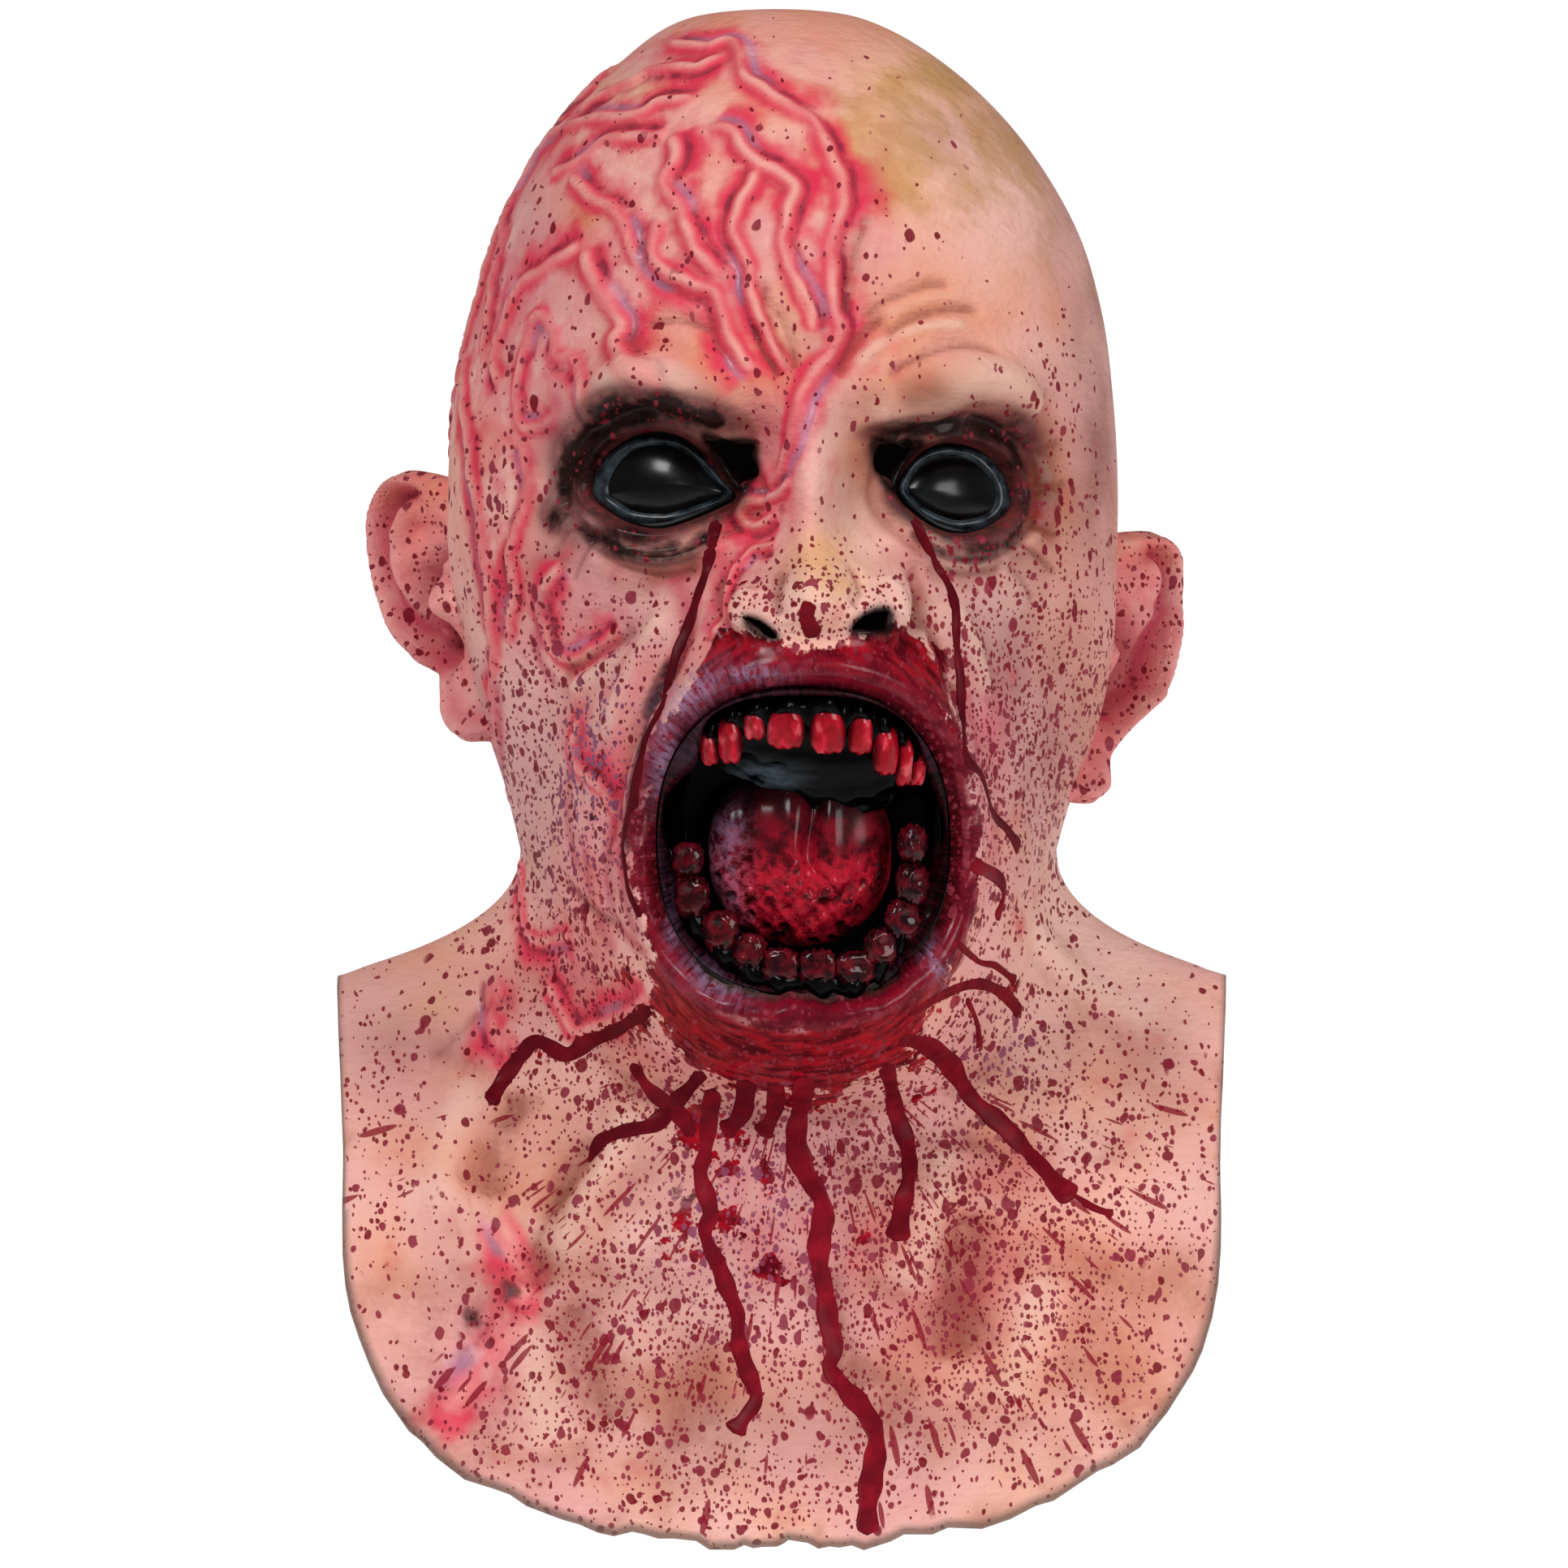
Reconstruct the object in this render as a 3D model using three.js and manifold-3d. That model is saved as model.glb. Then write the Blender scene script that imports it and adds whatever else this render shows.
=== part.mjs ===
// An over-the-head latex mask: a bald undead face with a gaping mouth, ears, neck and a bib
// over the shoulders. The skin is one thin casting. The mouth's lining, the gums, teeth, tongue
// and black eyes are set in it. Millimetres. X runs across the face, -Y is the front and Z is up.
// The origin is where the crown sits on a head.
import * as THREE from 'three';
import { mergeVertices } from 'three/addons/utils/BufferGeometryUtils.js';
import Module from 'manifold-3d';

// The casting
const wall = 2.4;
const clearance = 0.3;
const headWidth = 198;
const headFront = 104;
const headBack = 114;
const jawDrop = 316; // crown to chin
const bibWidth = 263;
const bibDrop = 446; // crown to the lowest point of the bib
const bibHang = 0.62; // share of its drop that a strip of the bib falls before it turns outwards

// The eyes
const eyeSpacing = 84.4;
const eyeLevel = -139.8;
const faceShift = 8.8; // the face looks a little to its left
const eyeDepth = 11;
const eyeBulge = 6;
const lidWidth = 4.2;

// The mouth
const mouthShift = 6.2;
const mouthLevel = -243;
const mouthWidth = 84;
const mouthHeight = 87;
const mouthCurve = 2.4; // 2 is an oval, and more is squarer
const muzzleReach = 34; // how far the lips stand out of the face
const muzzleSpread = 24;
const muzzleTop = 0.7; // share of the muzzle's outline where it stands full
const muzzleFoot = 1.24; // and where it has run out
const chinHang = 0.16; // share of muzzleReach that the chin is drawn down
const chinJut = 0.6; // and drawn forward
const liningBack = -72;

// The teeth, gums and tongue
const archDepth = 13;
const upperFront = -116;
const lowerFront = -108;
const gumEnd = 88; // degrees along the arch
const gumHeight = 12;
const gumThick = 9;
const toothThick = 6;
const toothFacing = 0.45; // share of the arch's turn that a tooth follows
const toothBlunt = 0.6; // 1 is an ellipsoid, and less is boxier
const rootDepth = 2.2; // how far a tooth is sunk in its gum
const rootLift = 2;
const tongueWidth = 50;
const tongueHeight = 44;
const tongueFront = -102;
const tongueDrop = 2.6;

// The ears
const earHeight = 80;
const earWidth = 46;
const earThick = 4;
const earFlare = THREE.MathUtils.degToRad(38);
const earLean = THREE.MathUtils.degToRad(14); // the lobe leans to the jaw
const earRim = 4;
const earBowl = 4;
const earBack = 6;
const earRimStart = 0.6; // share of the ear's reach where its rim starts to rise
const earRimFull = 0.9;
const earBowlFlat = 0.2; // share of its reach over which the bowl is deepest
const earBowlEnd = 0.75;

// Facets
const columnCount = 40;
const frontCrowding = 0.58; // columns stand closer together on the face than behind it
const mouthSides = 24;
const gumSteps = 9;
const gumSides = 4;
const toothSides = 8;
const toothRings = 4;
const tongueSides = 14;
const tongueRings = 10;
const earSpokes = 16;
const earRings = [0.35, 0.62, 0.82, 1];
const eyeSides = 16;
const eyeRings = 5;
const lidSides = 18;
const lidFacets = 6;
const weldReach = 1e-4;
const seamTolerance = 0.02;
const bibOverrun = 0.12; // the hollow runs this share of the bib's drop past its edge

const halfWidth = headWidth / 2;
const halfTurn = 180;

// Meridian of the head from the crown to the neck: level as a share of jawDrop, at the sides and
// at the front, half width, reach and sideways shift as shares of the head's own sizes, and cuts
// up to the next row
const headRows = Object.values({
  crown: { level: 0, levelFront: 0, half: 0, front: 0, back: 0, shift: 0, cuts: 2 },
  top: { level: -0.01, levelFront: -0.01, half: 0.27, front: 0.29, back: 0.29, shift: -0.02, cuts: 2 },
  dome: { level: -0.052, levelFront: -0.052, half: 0.49, front: 0.53, back: 0.53, shift: 0, cuts: 2 },
  skull: { level: -0.118, levelFront: -0.118, half: 0.697, front: 0.745, back: 0.74, shift: 0.01, cuts: 2 },
  hairline: { level: -0.202, levelFront: -0.202, half: 0.855, front: 0.895, back: 0.885, shift: 0.02, cuts: 2 },
  forehead: { level: -0.285, levelFront: -0.285, half: 0.937, front: 0.97, back: 0.965, shift: 0.02, cuts: 3 },
  brow: { level: -0.369, levelFront: -0.369, half: 0.984, front: 1, back: 1, shift: 0.007, cuts: 3 },
  eyes: { level: -0.446, levelFront: -0.446, half: 1, front: 0.975, back: 0.985, shift: 0.004, cuts: 3 },
  cheeks: { level: -0.522, levelFront: -0.522, half: 0.995, front: 0.96, back: 0.935, shift: 0.005, cuts: 3 },
  nose: { level: -0.598, levelFront: -0.6, half: 0.965, front: 0.935, back: 0.86, shift: 0.025, cuts: 3 },
  mouth: { level: -0.668, levelFront: -0.7, half: 0.915, front: 0.87, back: 0.775, shift: 0.03, cuts: 4 },
  jaw: { level: -0.727, levelFront: -0.83, half: 0.85, front: 0.76, back: 0.7, shift: 0.025, cuts: 4 },
  neck: { level: -0.785, levelFront: -0.985, half: 0.8, front: 0.62, back: 0.65, shift: 0.02, cuts: 6 },
});
const neckRow = headRows.length - 1;

// Cut edge of the bib, in equal turns from the middle of the chest to the middle of the back:
// across as a share of half its width, forward of headFront, and level of bibDrop
const bibEdge = [
  { across: 0, forward: 0.93, level: -1 },
  { across: 0.26, forward: 0.92, level: -0.996 },
  { across: 0.58, forward: 0.87, level: -0.973 },
  { across: 0.8, forward: 0.79, level: -0.93 },
  { across: 0.945, forward: 0.66, level: -0.855 },
  { across: 0.972, forward: 0.42, level: -0.745 },
  { across: 1, forward: -0.02, level: -0.641 },
  { across: 0.985, forward: -0.4, level: -0.68 },
  { across: 0.93, forward: -0.66, level: -0.745 },
  { across: 0.78, forward: -0.82, level: -0.81 },
  { across: 0.55, forward: -0.93, level: -0.86 },
  { across: 0.28, forward: -0.98, level: -0.885 },
  { across: 0, forward: -1, level: -0.89 },
];

// Modelled bumps and hollows of the front: place and spread across as shares of half the head's
// width, level and height as shares of jawDrop, and push of headFront, outwards if positive
const bumps = Object.values({
  browLeft: { x: -0.39, level: -0.362, wide: 0.27, tall: 0.03, push: 0.075 },
  browRight: { x: 0.55, level: -0.357, wide: 0.25, tall: 0.03, push: 0.075 },
  frown: { x: 0.06, level: -0.385, wide: 0.14, tall: 0.034, push: 0.06 },
  socketLeft: { x: -0.33, level: -0.441, wide: 0.27, tall: 0.06, push: -0.095 },
  socketRight: { x: 0.51, level: -0.446, wide: 0.24, tall: 0.056, push: -0.095 },
  cornerLeft: { x: -0.125, level: -0.42, wide: 0.09, tall: 0.028, push: -0.06 },
  cornerRight: { x: 0.31, level: -0.42, wide: 0.09, tall: 0.028, push: -0.06 },
  noseBridge: { x: 0.08, level: -0.46, wide: 0.095, tall: 0.07, push: 0.16 },
  noseTip: { x: 0.1, level: -0.548, wide: 0.15, tall: 0.04, push: 0.25 },
  noseWingLeft: { x: -0.08, level: -0.568, wide: 0.1, tall: 0.032, push: 0.1 },
  noseWingRight: { x: 0.285, level: -0.566, wide: 0.1, tall: 0.032, push: 0.1 },
  cheekboneLeft: { x: -0.52, level: -0.53, wide: 0.26, tall: 0.055, push: 0.06 },
  cheekboneRight: { x: 0.64, level: -0.53, wide: 0.24, tall: 0.055, push: 0.06 },
  cheekHollowLeft: { x: -0.66, level: -0.69, wide: 0.2, tall: 0.09, push: -0.05 },
  cheekHollowRight: { x: 0.76, level: -0.69, wide: 0.2, tall: 0.09, push: -0.05 },
  collarLeft: { x: -0.62, level: -1.13, wide: 0.5, tall: 0.035, push: 0.05 },
  collarRight: { x: 0.66, level: -1.11, wide: 0.5, tall: 0.035, push: 0.05 },
  chestLeft: { x: -0.28, level: -1.29, wide: 0.22, tall: 0.09, push: -0.05 },
  chestRight: { x: 0.3, level: -1.27, wide: 0.24, tall: 0.09, push: -0.05 },
});

// Reach of an ear's outline from its middle, in equal turns from the back over the top, as a share
// of half its size
const earOutline = Object.values({
  back: { reach: 0.98 },
  upperBack: { reach: 1.08 },
  top: { reach: 1 },
  upperFront: { reach: 0.9 },
  front: { reach: 0.9 },
  lowerFront: { reach: 0.88 },
  lobe: { reach: 1 },
  lowerBack: { reach: 0.62 },
});

// Where the ears are: across as a share of half the head's width, level as a share of jawDrop
const ears = Object.values({
  left: { side: -1, across: 1.04, level: -0.5475 },
  right: { side: 1, across: 1.02, level: -0.6075 },
});

// Eye openings: size and rise above eyeLevel as shares of eyeSpacing, turn in the plane of the face
// and turn of the whole eye outwards, in degrees
const eyes = [
  { name: 'eye_left', side: -1, width: 0.438, height: 0.296, rise: 0.011, turn: -14, outwards: -10 },
  { name: 'eye_right', side: 1, width: 0.379, height: 0.284, rise: -0.011, turn: 10, outwards: 20 },
];

// Peepholes and nostrils go through the casting: place from the middle of the face at the eyes'
// level and size, as shares of eyeSpacing, and turn in degrees
const holes = Object.values({
  peepholeLeft: { x: -0.265, z: 0.114, width: 0.142, height: 0.107, turn: 8 },
  peepholeRight: { x: 0.244, z: 0.121, width: 0.13, height: 0.118, turn: -20 },
  nostrilLeft: { x: -0.171, z: -0.498, width: 0.107, height: 0.053, turn: -35 },
  nostrilRight: { x: 0.211, z: -0.486, width: 0.113, height: 0.059, turn: 25 },
});

// Rows of teeth about the mouth's middle: shift and width as shares of mouthWidth, crest and sag
// of mouthHeight
const arches = {
  upper: { side: 1, front: upperFront, shift: 0.026, width: 0.7, crest: 0.363, sag: 0.122, tilt: -0.1 },
  lower: { side: -1, front: lowerFront, shift: 0, width: 0.785, crest: 0.42, sag: 0.368, tilt: 0 },
};

// Teeth: turn along the arch in degrees, width as a share of mouthWidth and height of mouthHeight
const upperTeeth = [
  { turn: -72, width: 0.064, height: 0.097 },
  { turn: -50, width: 0.074, height: 0.131 },
  { turn: -31, width: 0.071, height: 0.109 },
  { turn: -13, width: 0.114, height: 0.138 },
  { turn: 9, width: 0.114, height: 0.149 },
  { turn: 28, width: 0.071, height: 0.132 },
  { turn: 45, width: 0.074, height: 0.138 },
  { turn: 61, width: 0.062, height: 0.132 },
  { turn: 82, width: 0.06, height: 0.097 },
];
const lowerTeeth = [
  { turn: -82, width: 0.088, height: 0.098 },
  { turn: -66, width: 0.09, height: 0.098 },
  { turn: -50, width: 0.095, height: 0.098 },
  { turn: -34, width: 0.09, height: 0.092 },
  { turn: -17, width: 0.095, height: 0.092 },
  { turn: 0, width: 0.1, height: 0.092 },
  { turn: 17, width: 0.095, height: 0.092 },
  { turn: 34, width: 0.09, height: 0.098 },
  { turn: 50, width: 0.095, height: 0.098 },
  { turn: 66, width: 0.09, height: 0.098 },
  { turn: 82, width: 0.083, height: 0.098 },
];

const latex = new THREE.MeshStandardMaterial({ color: 0xe0a898, roughness: 0.55 });
const wetLining = new THREE.MeshStandardMaterial({ color: 0x1c0508, roughness: 0.25 });
const gumFlesh = new THREE.MeshStandardMaterial({ color: 0x3a0a10, roughness: 0.25 });
const bloodyTooth = new THREE.MeshStandardMaterial({ color: 0xb02430, roughness: 0.2 });
const tongueFlesh = new THREE.MeshStandardMaterial({ color: 0x7a1420, roughness: 0.25 });
const blackGloss = new THREE.MeshStandardMaterial({ color: 0x0a0b0d, roughness: 0.15 });

const wasm = await Module();
wasm.setup();

const { degToRad, radToDeg, smoothstep } = THREE.MathUtils;

// A column of a table between its rows, on a smooth curve through them
function along(table, column, at) {
  const last = table.length - 1;
  const row = Math.min(Math.floor(at), last - 1);
  const t = at - row;
  const pick = (n) => table[THREE.MathUtils.clamp(n, 0, last)][column];
  const [before, from, to, after] = [pick(row - 1), pick(row), pick(row + 1), pick(row + 2)];
  const leave = (to - before) / 2;
  const arrive = (after - from) / 2;
  const bend = 3 * (to - from) - 2 * leave - arrive;
  const twist = 2 * (from - to) + leave + arrive;
  return from + t * leave + t * t * bend + t * t * t * twist;
}

// The head's plain form at a row of the meridian and an angle from the front
function headPoint(at, angle) {
  const forward = Math.cos(angle);
  const facing = Math.max(forward, 0) ** 2;
  const level = along(headRows, 'level', at);
  const levelFront = along(headRows, 'levelFront', at);
  const [depth, half] = forward > 0 ? [headFront, 'front'] : [headBack, 'back'];
  return new THREE.Vector3(
    halfWidth * (along(headRows, 'half', at) * Math.sin(angle) + along(headRows, 'shift', at)),
    -depth * along(headRows, half, at) * forward,
    wall + jawDrop * THREE.MathUtils.lerp(level, levelFront, facing),
  );
}

// The bib hangs from the neck to its cut edge
function bibPoint(share, angle) {
  const neck = headPoint(neckRow, angle);
  const at = (radToDeg(Math.abs(angle)) / halfTurn) * (bibEdge.length - 1);
  const edge = new THREE.Vector3(
    (Math.sign(angle) * bibWidth * along(bibEdge, 'across', at)) / 2,
    -headFront * along(bibEdge, 'forward', at),
    wall + bibDrop * along(bibEdge, 'level', at),
  );
  const turn = neck.clone();
  turn.z = THREE.MathUtils.lerp(neck.z, edge.z, bibHang);
  return new THREE.QuadraticBezierCurve3(neck, turn, edge).getPoint(share);
}

// Distance from the mouth's middle, 1 on the outline that lies the margin outside the opening
function mouthShare(x, z, margin) {
  const across = Math.abs(x - mouthShift) / (mouthWidth / 2 + margin);
  const up = Math.abs(z - mouthLevel) / (mouthHeight / 2 + margin);
  return (across ** mouthCurve + up ** mouthCurve) ** (1 / mouthCurve);
}

// The lips stand out of the face round the mouth, and the chin hangs over the throat
function addMuzzle(point) {
  const { x, z } = point;
  const inside = 1 - smoothstep(mouthShare(x, z, muzzleSpread), muzzleTop, muzzleFoot);
  const below = 1 - smoothstep(z, mouthLevel - mouthHeight, mouthLevel);
  point.y -= muzzleReach * inside * (1 + chinJut * below);
  point.z -= chinHang * muzzleReach * inside * below;
}

// The outer face of the casting
function skinPoint(at, angle) {
  const base = at <= neckRow ? headPoint(at, angle) : bibPoint(at - neckRow, angle);
  const point = base.clone();
  if (base.y >= 0) return point;
  const facing = smoothstep(-base.y, 0, headFront / 2);
  for (const bump of bumps) {
    const across = (base.x / halfWidth - bump.x) / bump.wide;
    const up = ((base.z - wall) / jawDrop - bump.level) / bump.tall;
    point.y -= headFront * bump.push * facing * Math.exp(-across * across - up * up);
  }
  addMuzzle(point);
  return point;
}

function columnAngle(column) {
  const turn = Math.PI * ((2 * column) / columnCount - 1);
  return turn - frontCrowding * Math.sin(turn);
}

const stations = headRows.flatMap((row, n) =>
  Array.from({ length: row.cuts }, (_, cut) => n + (cut + 1) / row.cuts),
);

function solidOf(points, faces) {
  const vertProperties = new Float32Array(points.flatMap((p) => [p.x, p.y, p.z]));
  const triVerts = new Uint32Array(faces.flat());
  return new wasm.Manifold(new wasm.Mesh({ numProp: 3, vertProperties, triVerts }));
}

function solidFrom(geometry) {
  const bare = geometry.clone();
  bare.deleteAttribute('normal');
  bare.deleteAttribute('uv');
  const merged = mergeVertices(bare, weldReach);
  const triVerts = new Uint32Array(merged.index.array);
  const vertProperties = merged.attributes.position.array;
  return new wasm.Manifold(new wasm.Mesh({ numProp: 3, vertProperties, triVerts }));
}

// Crumbs that a cut leaves are let go
function largest(solid) {
  return solid.decompose().sort((a, b) => b.volume() - a.volume())[0];
}

function meshOf(name, solid, material) {
  const { vertProperties, triVerts } = solid.simplify(seamTolerance).getMesh();
  const geometry = new THREE.BufferGeometry();
  geometry.setAttribute('position', new THREE.BufferAttribute(vertProperties, 3));
  geometry.setIndex(new THREE.BufferAttribute(triVerts, 1));
  geometry.computeVertexNormals();
  const mesh = new THREE.Mesh(geometry, material);
  mesh.name = name;
  return mesh;
}

// Rings of points joined into a skin that starts at a pole
function domeFaces(pole, ringCount, ringSize, outward) {
  const faces = [];
  const add = (a, b, c) => faces.push(outward ? [a, b, c] : [a, c, b]);
  const at = (ring, n) => pole + 1 + ring * ringSize + (n % ringSize);
  for (let n = 0; n < ringSize; n++) {
    add(pole, at(0, n), at(0, n + 1));
    for (let ring = 0; ring + 1 < ringCount; ring++) {
      add(at(ring, n), at(ring + 1, n), at(ring + 1, n + 1));
      add(at(ring, n), at(ring + 1, n + 1), at(ring, n + 1));
    }
  }
  return faces;
}

// Faces that join the last ring of a plate's front to the last ring of its back
function edgeFaces(first, count, back, outward) {
  const faces = [];
  for (let n = 0; n < count; n++) {
    const [a, b] = [first + n, first + ((n + 1) % count)];
    const pair = [[a, a + back, b + back], [a, b + back, b]];
    faces.push(...(outward ? pair : pair.map((face) => face.reverse())));
  }
  return faces;
}

// The casting's form down to a row, moved in along the mean normals of its faces and closed under the last ring
function closedForm(rows, inset) {
  const outer = [skinPoint(0, 0)];
  for (const at of rows) {
    for (let column = 0; column < columnCount; column++) {
      outer.push(skinPoint(at, columnAngle(column)));
    }
  }
  const faces = domeFaces(0, rows.length, columnCount, true);
  const normals = outer.map(() => new THREE.Vector3());
  const triangle = new THREE.Triangle();
  for (const face of faces) {
    triangle.setFromPointsAndIndices(outer, ...face);
    const normal = triangle.getNormal(new THREE.Vector3()).multiplyScalar(triangle.getArea());
    for (const n of face) normals[n].add(normal);
  }
  const points = outer.map((p, n) => p.clone().addScaledVector(normals[n].normalize(), -inset));
  const last = points.length - columnCount;
  for (let n = 0; n < columnCount; n++) {
    faces.push([points.length, last + ((n + 1) % columnCount), last + n]);
  }
  return solidOf([...points, new THREE.Vector3(0, 0, points[last].z)], faces);
}

const filled = closedForm(stations, 0);
const hollow = closedForm([...stations, neckRow + 1 + bibOverrun], wall);
const farFront = -2 * headFront - muzzleReach;

// A bar along Y with the given outline
function barOf(outline, x, z, front, back) {
  const depth = back - front;
  const bar = new THREE.ExtrudeGeometry(new THREE.Shape(outline), { depth, bevelEnabled: false });
  bar.rotateX(Math.PI / 2);
  bar.translate(x, back, z);
  return solidFrom(bar);
}

function holeBar({ x, z, width, height, turn }) {
  const [across, up] = [(width * eyeSpacing) / 2, (height * eyeSpacing) / 2];
  const oval = new THREE.EllipseCurve(0, 0, across, up, 0, 2 * Math.PI, false, degToRad(turn));
  const outline = oval.getPoints(eyeSides).slice(1);
  return barOf(outline, faceShift + x * eyeSpacing, eyeLevel + z * eyeSpacing, farFront, 0);
}

function mouthBar(margin, front, back) {
  const square = (value) => Math.sign(value) * Math.abs(value) ** (2 / mouthCurve);
  const outline = Array.from({ length: mouthSides }, (_, n) => {
    const turn = (2 * Math.PI * n) / mouthSides;
    const across = (mouthWidth / 2 - margin) * square(Math.cos(turn));
    return new THREE.Vector2(across, (mouthHeight / 2 - margin) * square(Math.sin(turn)));
  });
  return barOf(outline, mouthShift, mouthLevel, front, back);
}

// A form made at the origin is set on the front of the casting, where an eye is
function setAtEye(form, eye) {
  const [across, up] = [(eye.side * eyeSpacing) / 2, eye.rise * eyeSpacing];
  const start = new THREE.Vector3(faceShift + across, farFront, eyeLevel + up);
  const ray = new THREE.Raycaster(start, new THREE.Vector3(0, 1, 0));
  const { x, y, z } = ray.intersectObject(meshOf('front', filled, latex))[0].point;
  return form.rotate([0, -eye.turn, 0]).rotate([0, 0, eye.outwards]).translate([x, y, z]);
}

// Half of an eye's width and height, larger all round by the margin
function eyeReach(eye, margin) {
  return [(eye.width * eyeSpacing) / 2 + margin, (eye.height * eyeSpacing) / 2 + margin];
}

function eyeOpening(eye) {
  const oval = new THREE.EllipseCurve(0, 0, ...eyeReach(eye, 0));
  return setAtEye(barOf(oval.getPoints(eyeSides).slice(1), 0, 0, -headFront, headFront / 2), eye);
}

// A black eye: a low dome in front of a straight skirt that fills its opening
function makeEye(eye) {
  const dome = new THREE.EllipseCurve(0, 0, 1, eyeBulge, 0, Math.PI / 2).getPoints(eyeRings);
  dome[dome.length - 1].x = 0;
  const profile = [new THREE.Vector2(0, -eyeDepth), new THREE.Vector2(1, -eyeDepth), ...dome];
  const ball = new THREE.LatheGeometry(profile, eyeSides);
  ball.rotateZ(Math.PI);
  const [across, up] = eyeReach(eye, -clearance);
  ball.scale(across, 1, up);
  return setAtEye(solidFrom(ball), eye);
}

// The rolled lid that rings an eye
function lidRing(eye) {
  const oval = new THREE.EllipseCurve(0, 0, ...eyeReach(eye, lidWidth / 2));
  const points = oval.getPoints(lidSides).slice(1);
  const path = new THREE.CatmullRomCurve3(points.map((p) => new THREE.Vector3(p.x, 0, p.y)), true);
  const ring = new THREE.TubeGeometry(path, lidSides, lidWidth / 2, lidFacets, true);
  return setAtEye(solidFrom(ring), eye);
}

// An ear: a dished plate with a raised rim, set off the side of the head
function makeEar(ear) {
  const outwards = new THREE.Vector3(ear.side * Math.sin(earFlare), Math.cos(earFlare), 0);
  const facing = new THREE.Vector3(ear.side * Math.cos(earFlare), -Math.sin(earFlare), 0);
  const middle = new THREE.Vector3(ear.side * ear.across * halfWidth, earBack, ear.level * jawDrop);
  const closed = [...earOutline, earOutline[0], earOutline[1]];
  const place = (share, spoke, height) => {
    const turn = (spoke / earSpokes) * 2 * Math.PI;
    const reach = share * along(closed, 'reach', (spoke / earSpokes) * earOutline.length);
    const point = middle.clone().addScaledVector(facing, height);
    const across = (reach * Math.cos(turn) * earWidth) / 2;
    const up = (reach * Math.sin(turn) * earHeight) / 2;
    point.addScaledVector(outwards, across * Math.cos(earLean) + up * Math.sin(earLean));
    point.z += up * Math.cos(earLean) - across * Math.sin(earLean);
    return point;
  };
  const rimHeight = (share) => earRim * smoothstep(share, earRimStart, earRimFull);
  const bowlDepth = (share) => earBowl * (1 - smoothstep(share, earBowlFlat, earBowlEnd));
  const dish = (share) => rimHeight(share) - bowlDepth(share);
  const plate = (offset) => {
    const spokes = Array.from({ length: earSpokes }, (_, spoke) => spoke);
    const ringAt = (share) => spokes.map((spoke) => place(share, spoke, dish(share) + offset));
    return [place(0, 0, dish(0) + offset), ...earRings.flatMap(ringAt)];
  };
  const front = plate(0);
  const right = ear.side > 0;
  const rim = 1 + (earRings.length - 1) * earSpokes;
  const faces = [
    ...domeFaces(0, earRings.length, earSpokes, right),
    ...domeFaces(front.length, earRings.length, earSpokes, !right),
    ...edgeFaces(rim, earSpokes, front.length, right),
  ];
  return solidOf([...front, ...plate(-earThick)], faces);
}

// A place on a row of teeth
function archPoint(arch, turn) {
  const angle = degToRad(turn);
  const x = (Math.sin(angle) * arch.width * mouthWidth) / 2;
  const bend = 1 - Math.cos(angle);
  const rise = (arch.crest - arch.sag * bend) * mouthHeight + arch.tilt * x;
  const across = mouthShift + arch.shift * mouthWidth + x;
  return new THREE.Vector3(across, arch.front + archDepth * bend, mouthLevel + arch.side * rise);
}

// A tooth, larger all round by the margin that its socket needs
function makeTooth(arch, tooth, margin) {
  const form = new THREE.SphereGeometry(1, toothSides, toothRings);
  const position = form.attributes.position;
  const square = (value) => Math.sign(value) * Math.abs(value) ** toothBlunt;
  for (let n = 0; n < position.count; n++) {
    position.setXYZ(n, -square(position.getX(n)), square(position.getZ(n)), square(position.getY(n)));
  }
  const [across, up] = [(tooth.width * mouthWidth) / 2, (tooth.height * mouthHeight) / 2];
  form.scale(across + margin, toothThick / 2 + margin, up + margin);
  form.rotateZ(degToRad(tooth.turn * toothFacing));
  form.translate(...archPoint(arch, tooth.turn));
  return solidFrom(form);
}

// A gum: a bar along the arch behind the teeth, with a socket for each
function makeGum(arch, teeth) {
  const points = Array.from({ length: gumSteps }, (_, n) => {
    const place = archPoint(arch, gumEnd * ((2 * n) / (gumSteps - 1) - 1));
    const away = new THREE.Vector3(place.x - mouthShift, 0, place.z - mouthLevel).setLength(rootLift);
    return place.add(away).setY(place.y + (toothThick + gumThick) / 2 - rootDepth);
  });
  const section = new THREE.Shape().absellipse(0, 0, gumHeight / 2, gumThick / 2, 0, 2 * Math.PI);
  const extrudePath = new THREE.CatmullRomCurve3(points);
  const bar = new THREE.ExtrudeGeometry(section, { steps: gumSteps, extrudePath, curveSegments: gumSides });
  const room = mouthBar(wall + 2 * clearance, farFront, liningBack - wall - clearance);
  const gum = solidFrom(bar).intersect(room);
  return largest(teeth.reduce((form, tooth) => form.subtract(makeTooth(arch, tooth, clearance)), gum));
}

function makeTongue() {
  const depth = (liningBack - wall - clearance - tongueFront) / 2;
  const form = new THREE.SphereGeometry(1, tongueSides, tongueRings);
  form.rotateX(Math.PI / 2);
  form.scale(tongueWidth / 2, depth, tongueHeight / 2);
  form.translate(mouthShift, tongueFront + depth, mouthLevel - tongueDrop);
  return solidFrom(form);
}

function makeSkin() {
  const raised = [...ears.map(makeEar), ...eyes.map(lidRing)];
  const openings = [
    hollow,
    mouthBar(0, farFront, liningBack),
    ...eyes.map(eyeOpening),
    ...holes.map(holeBar),
  ];
  const form = raised.reduce((skin, part) => skin.add(part), filled);
  return largest(openings.reduce((skin, opening) => skin.subtract(opening), form));
}

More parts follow.
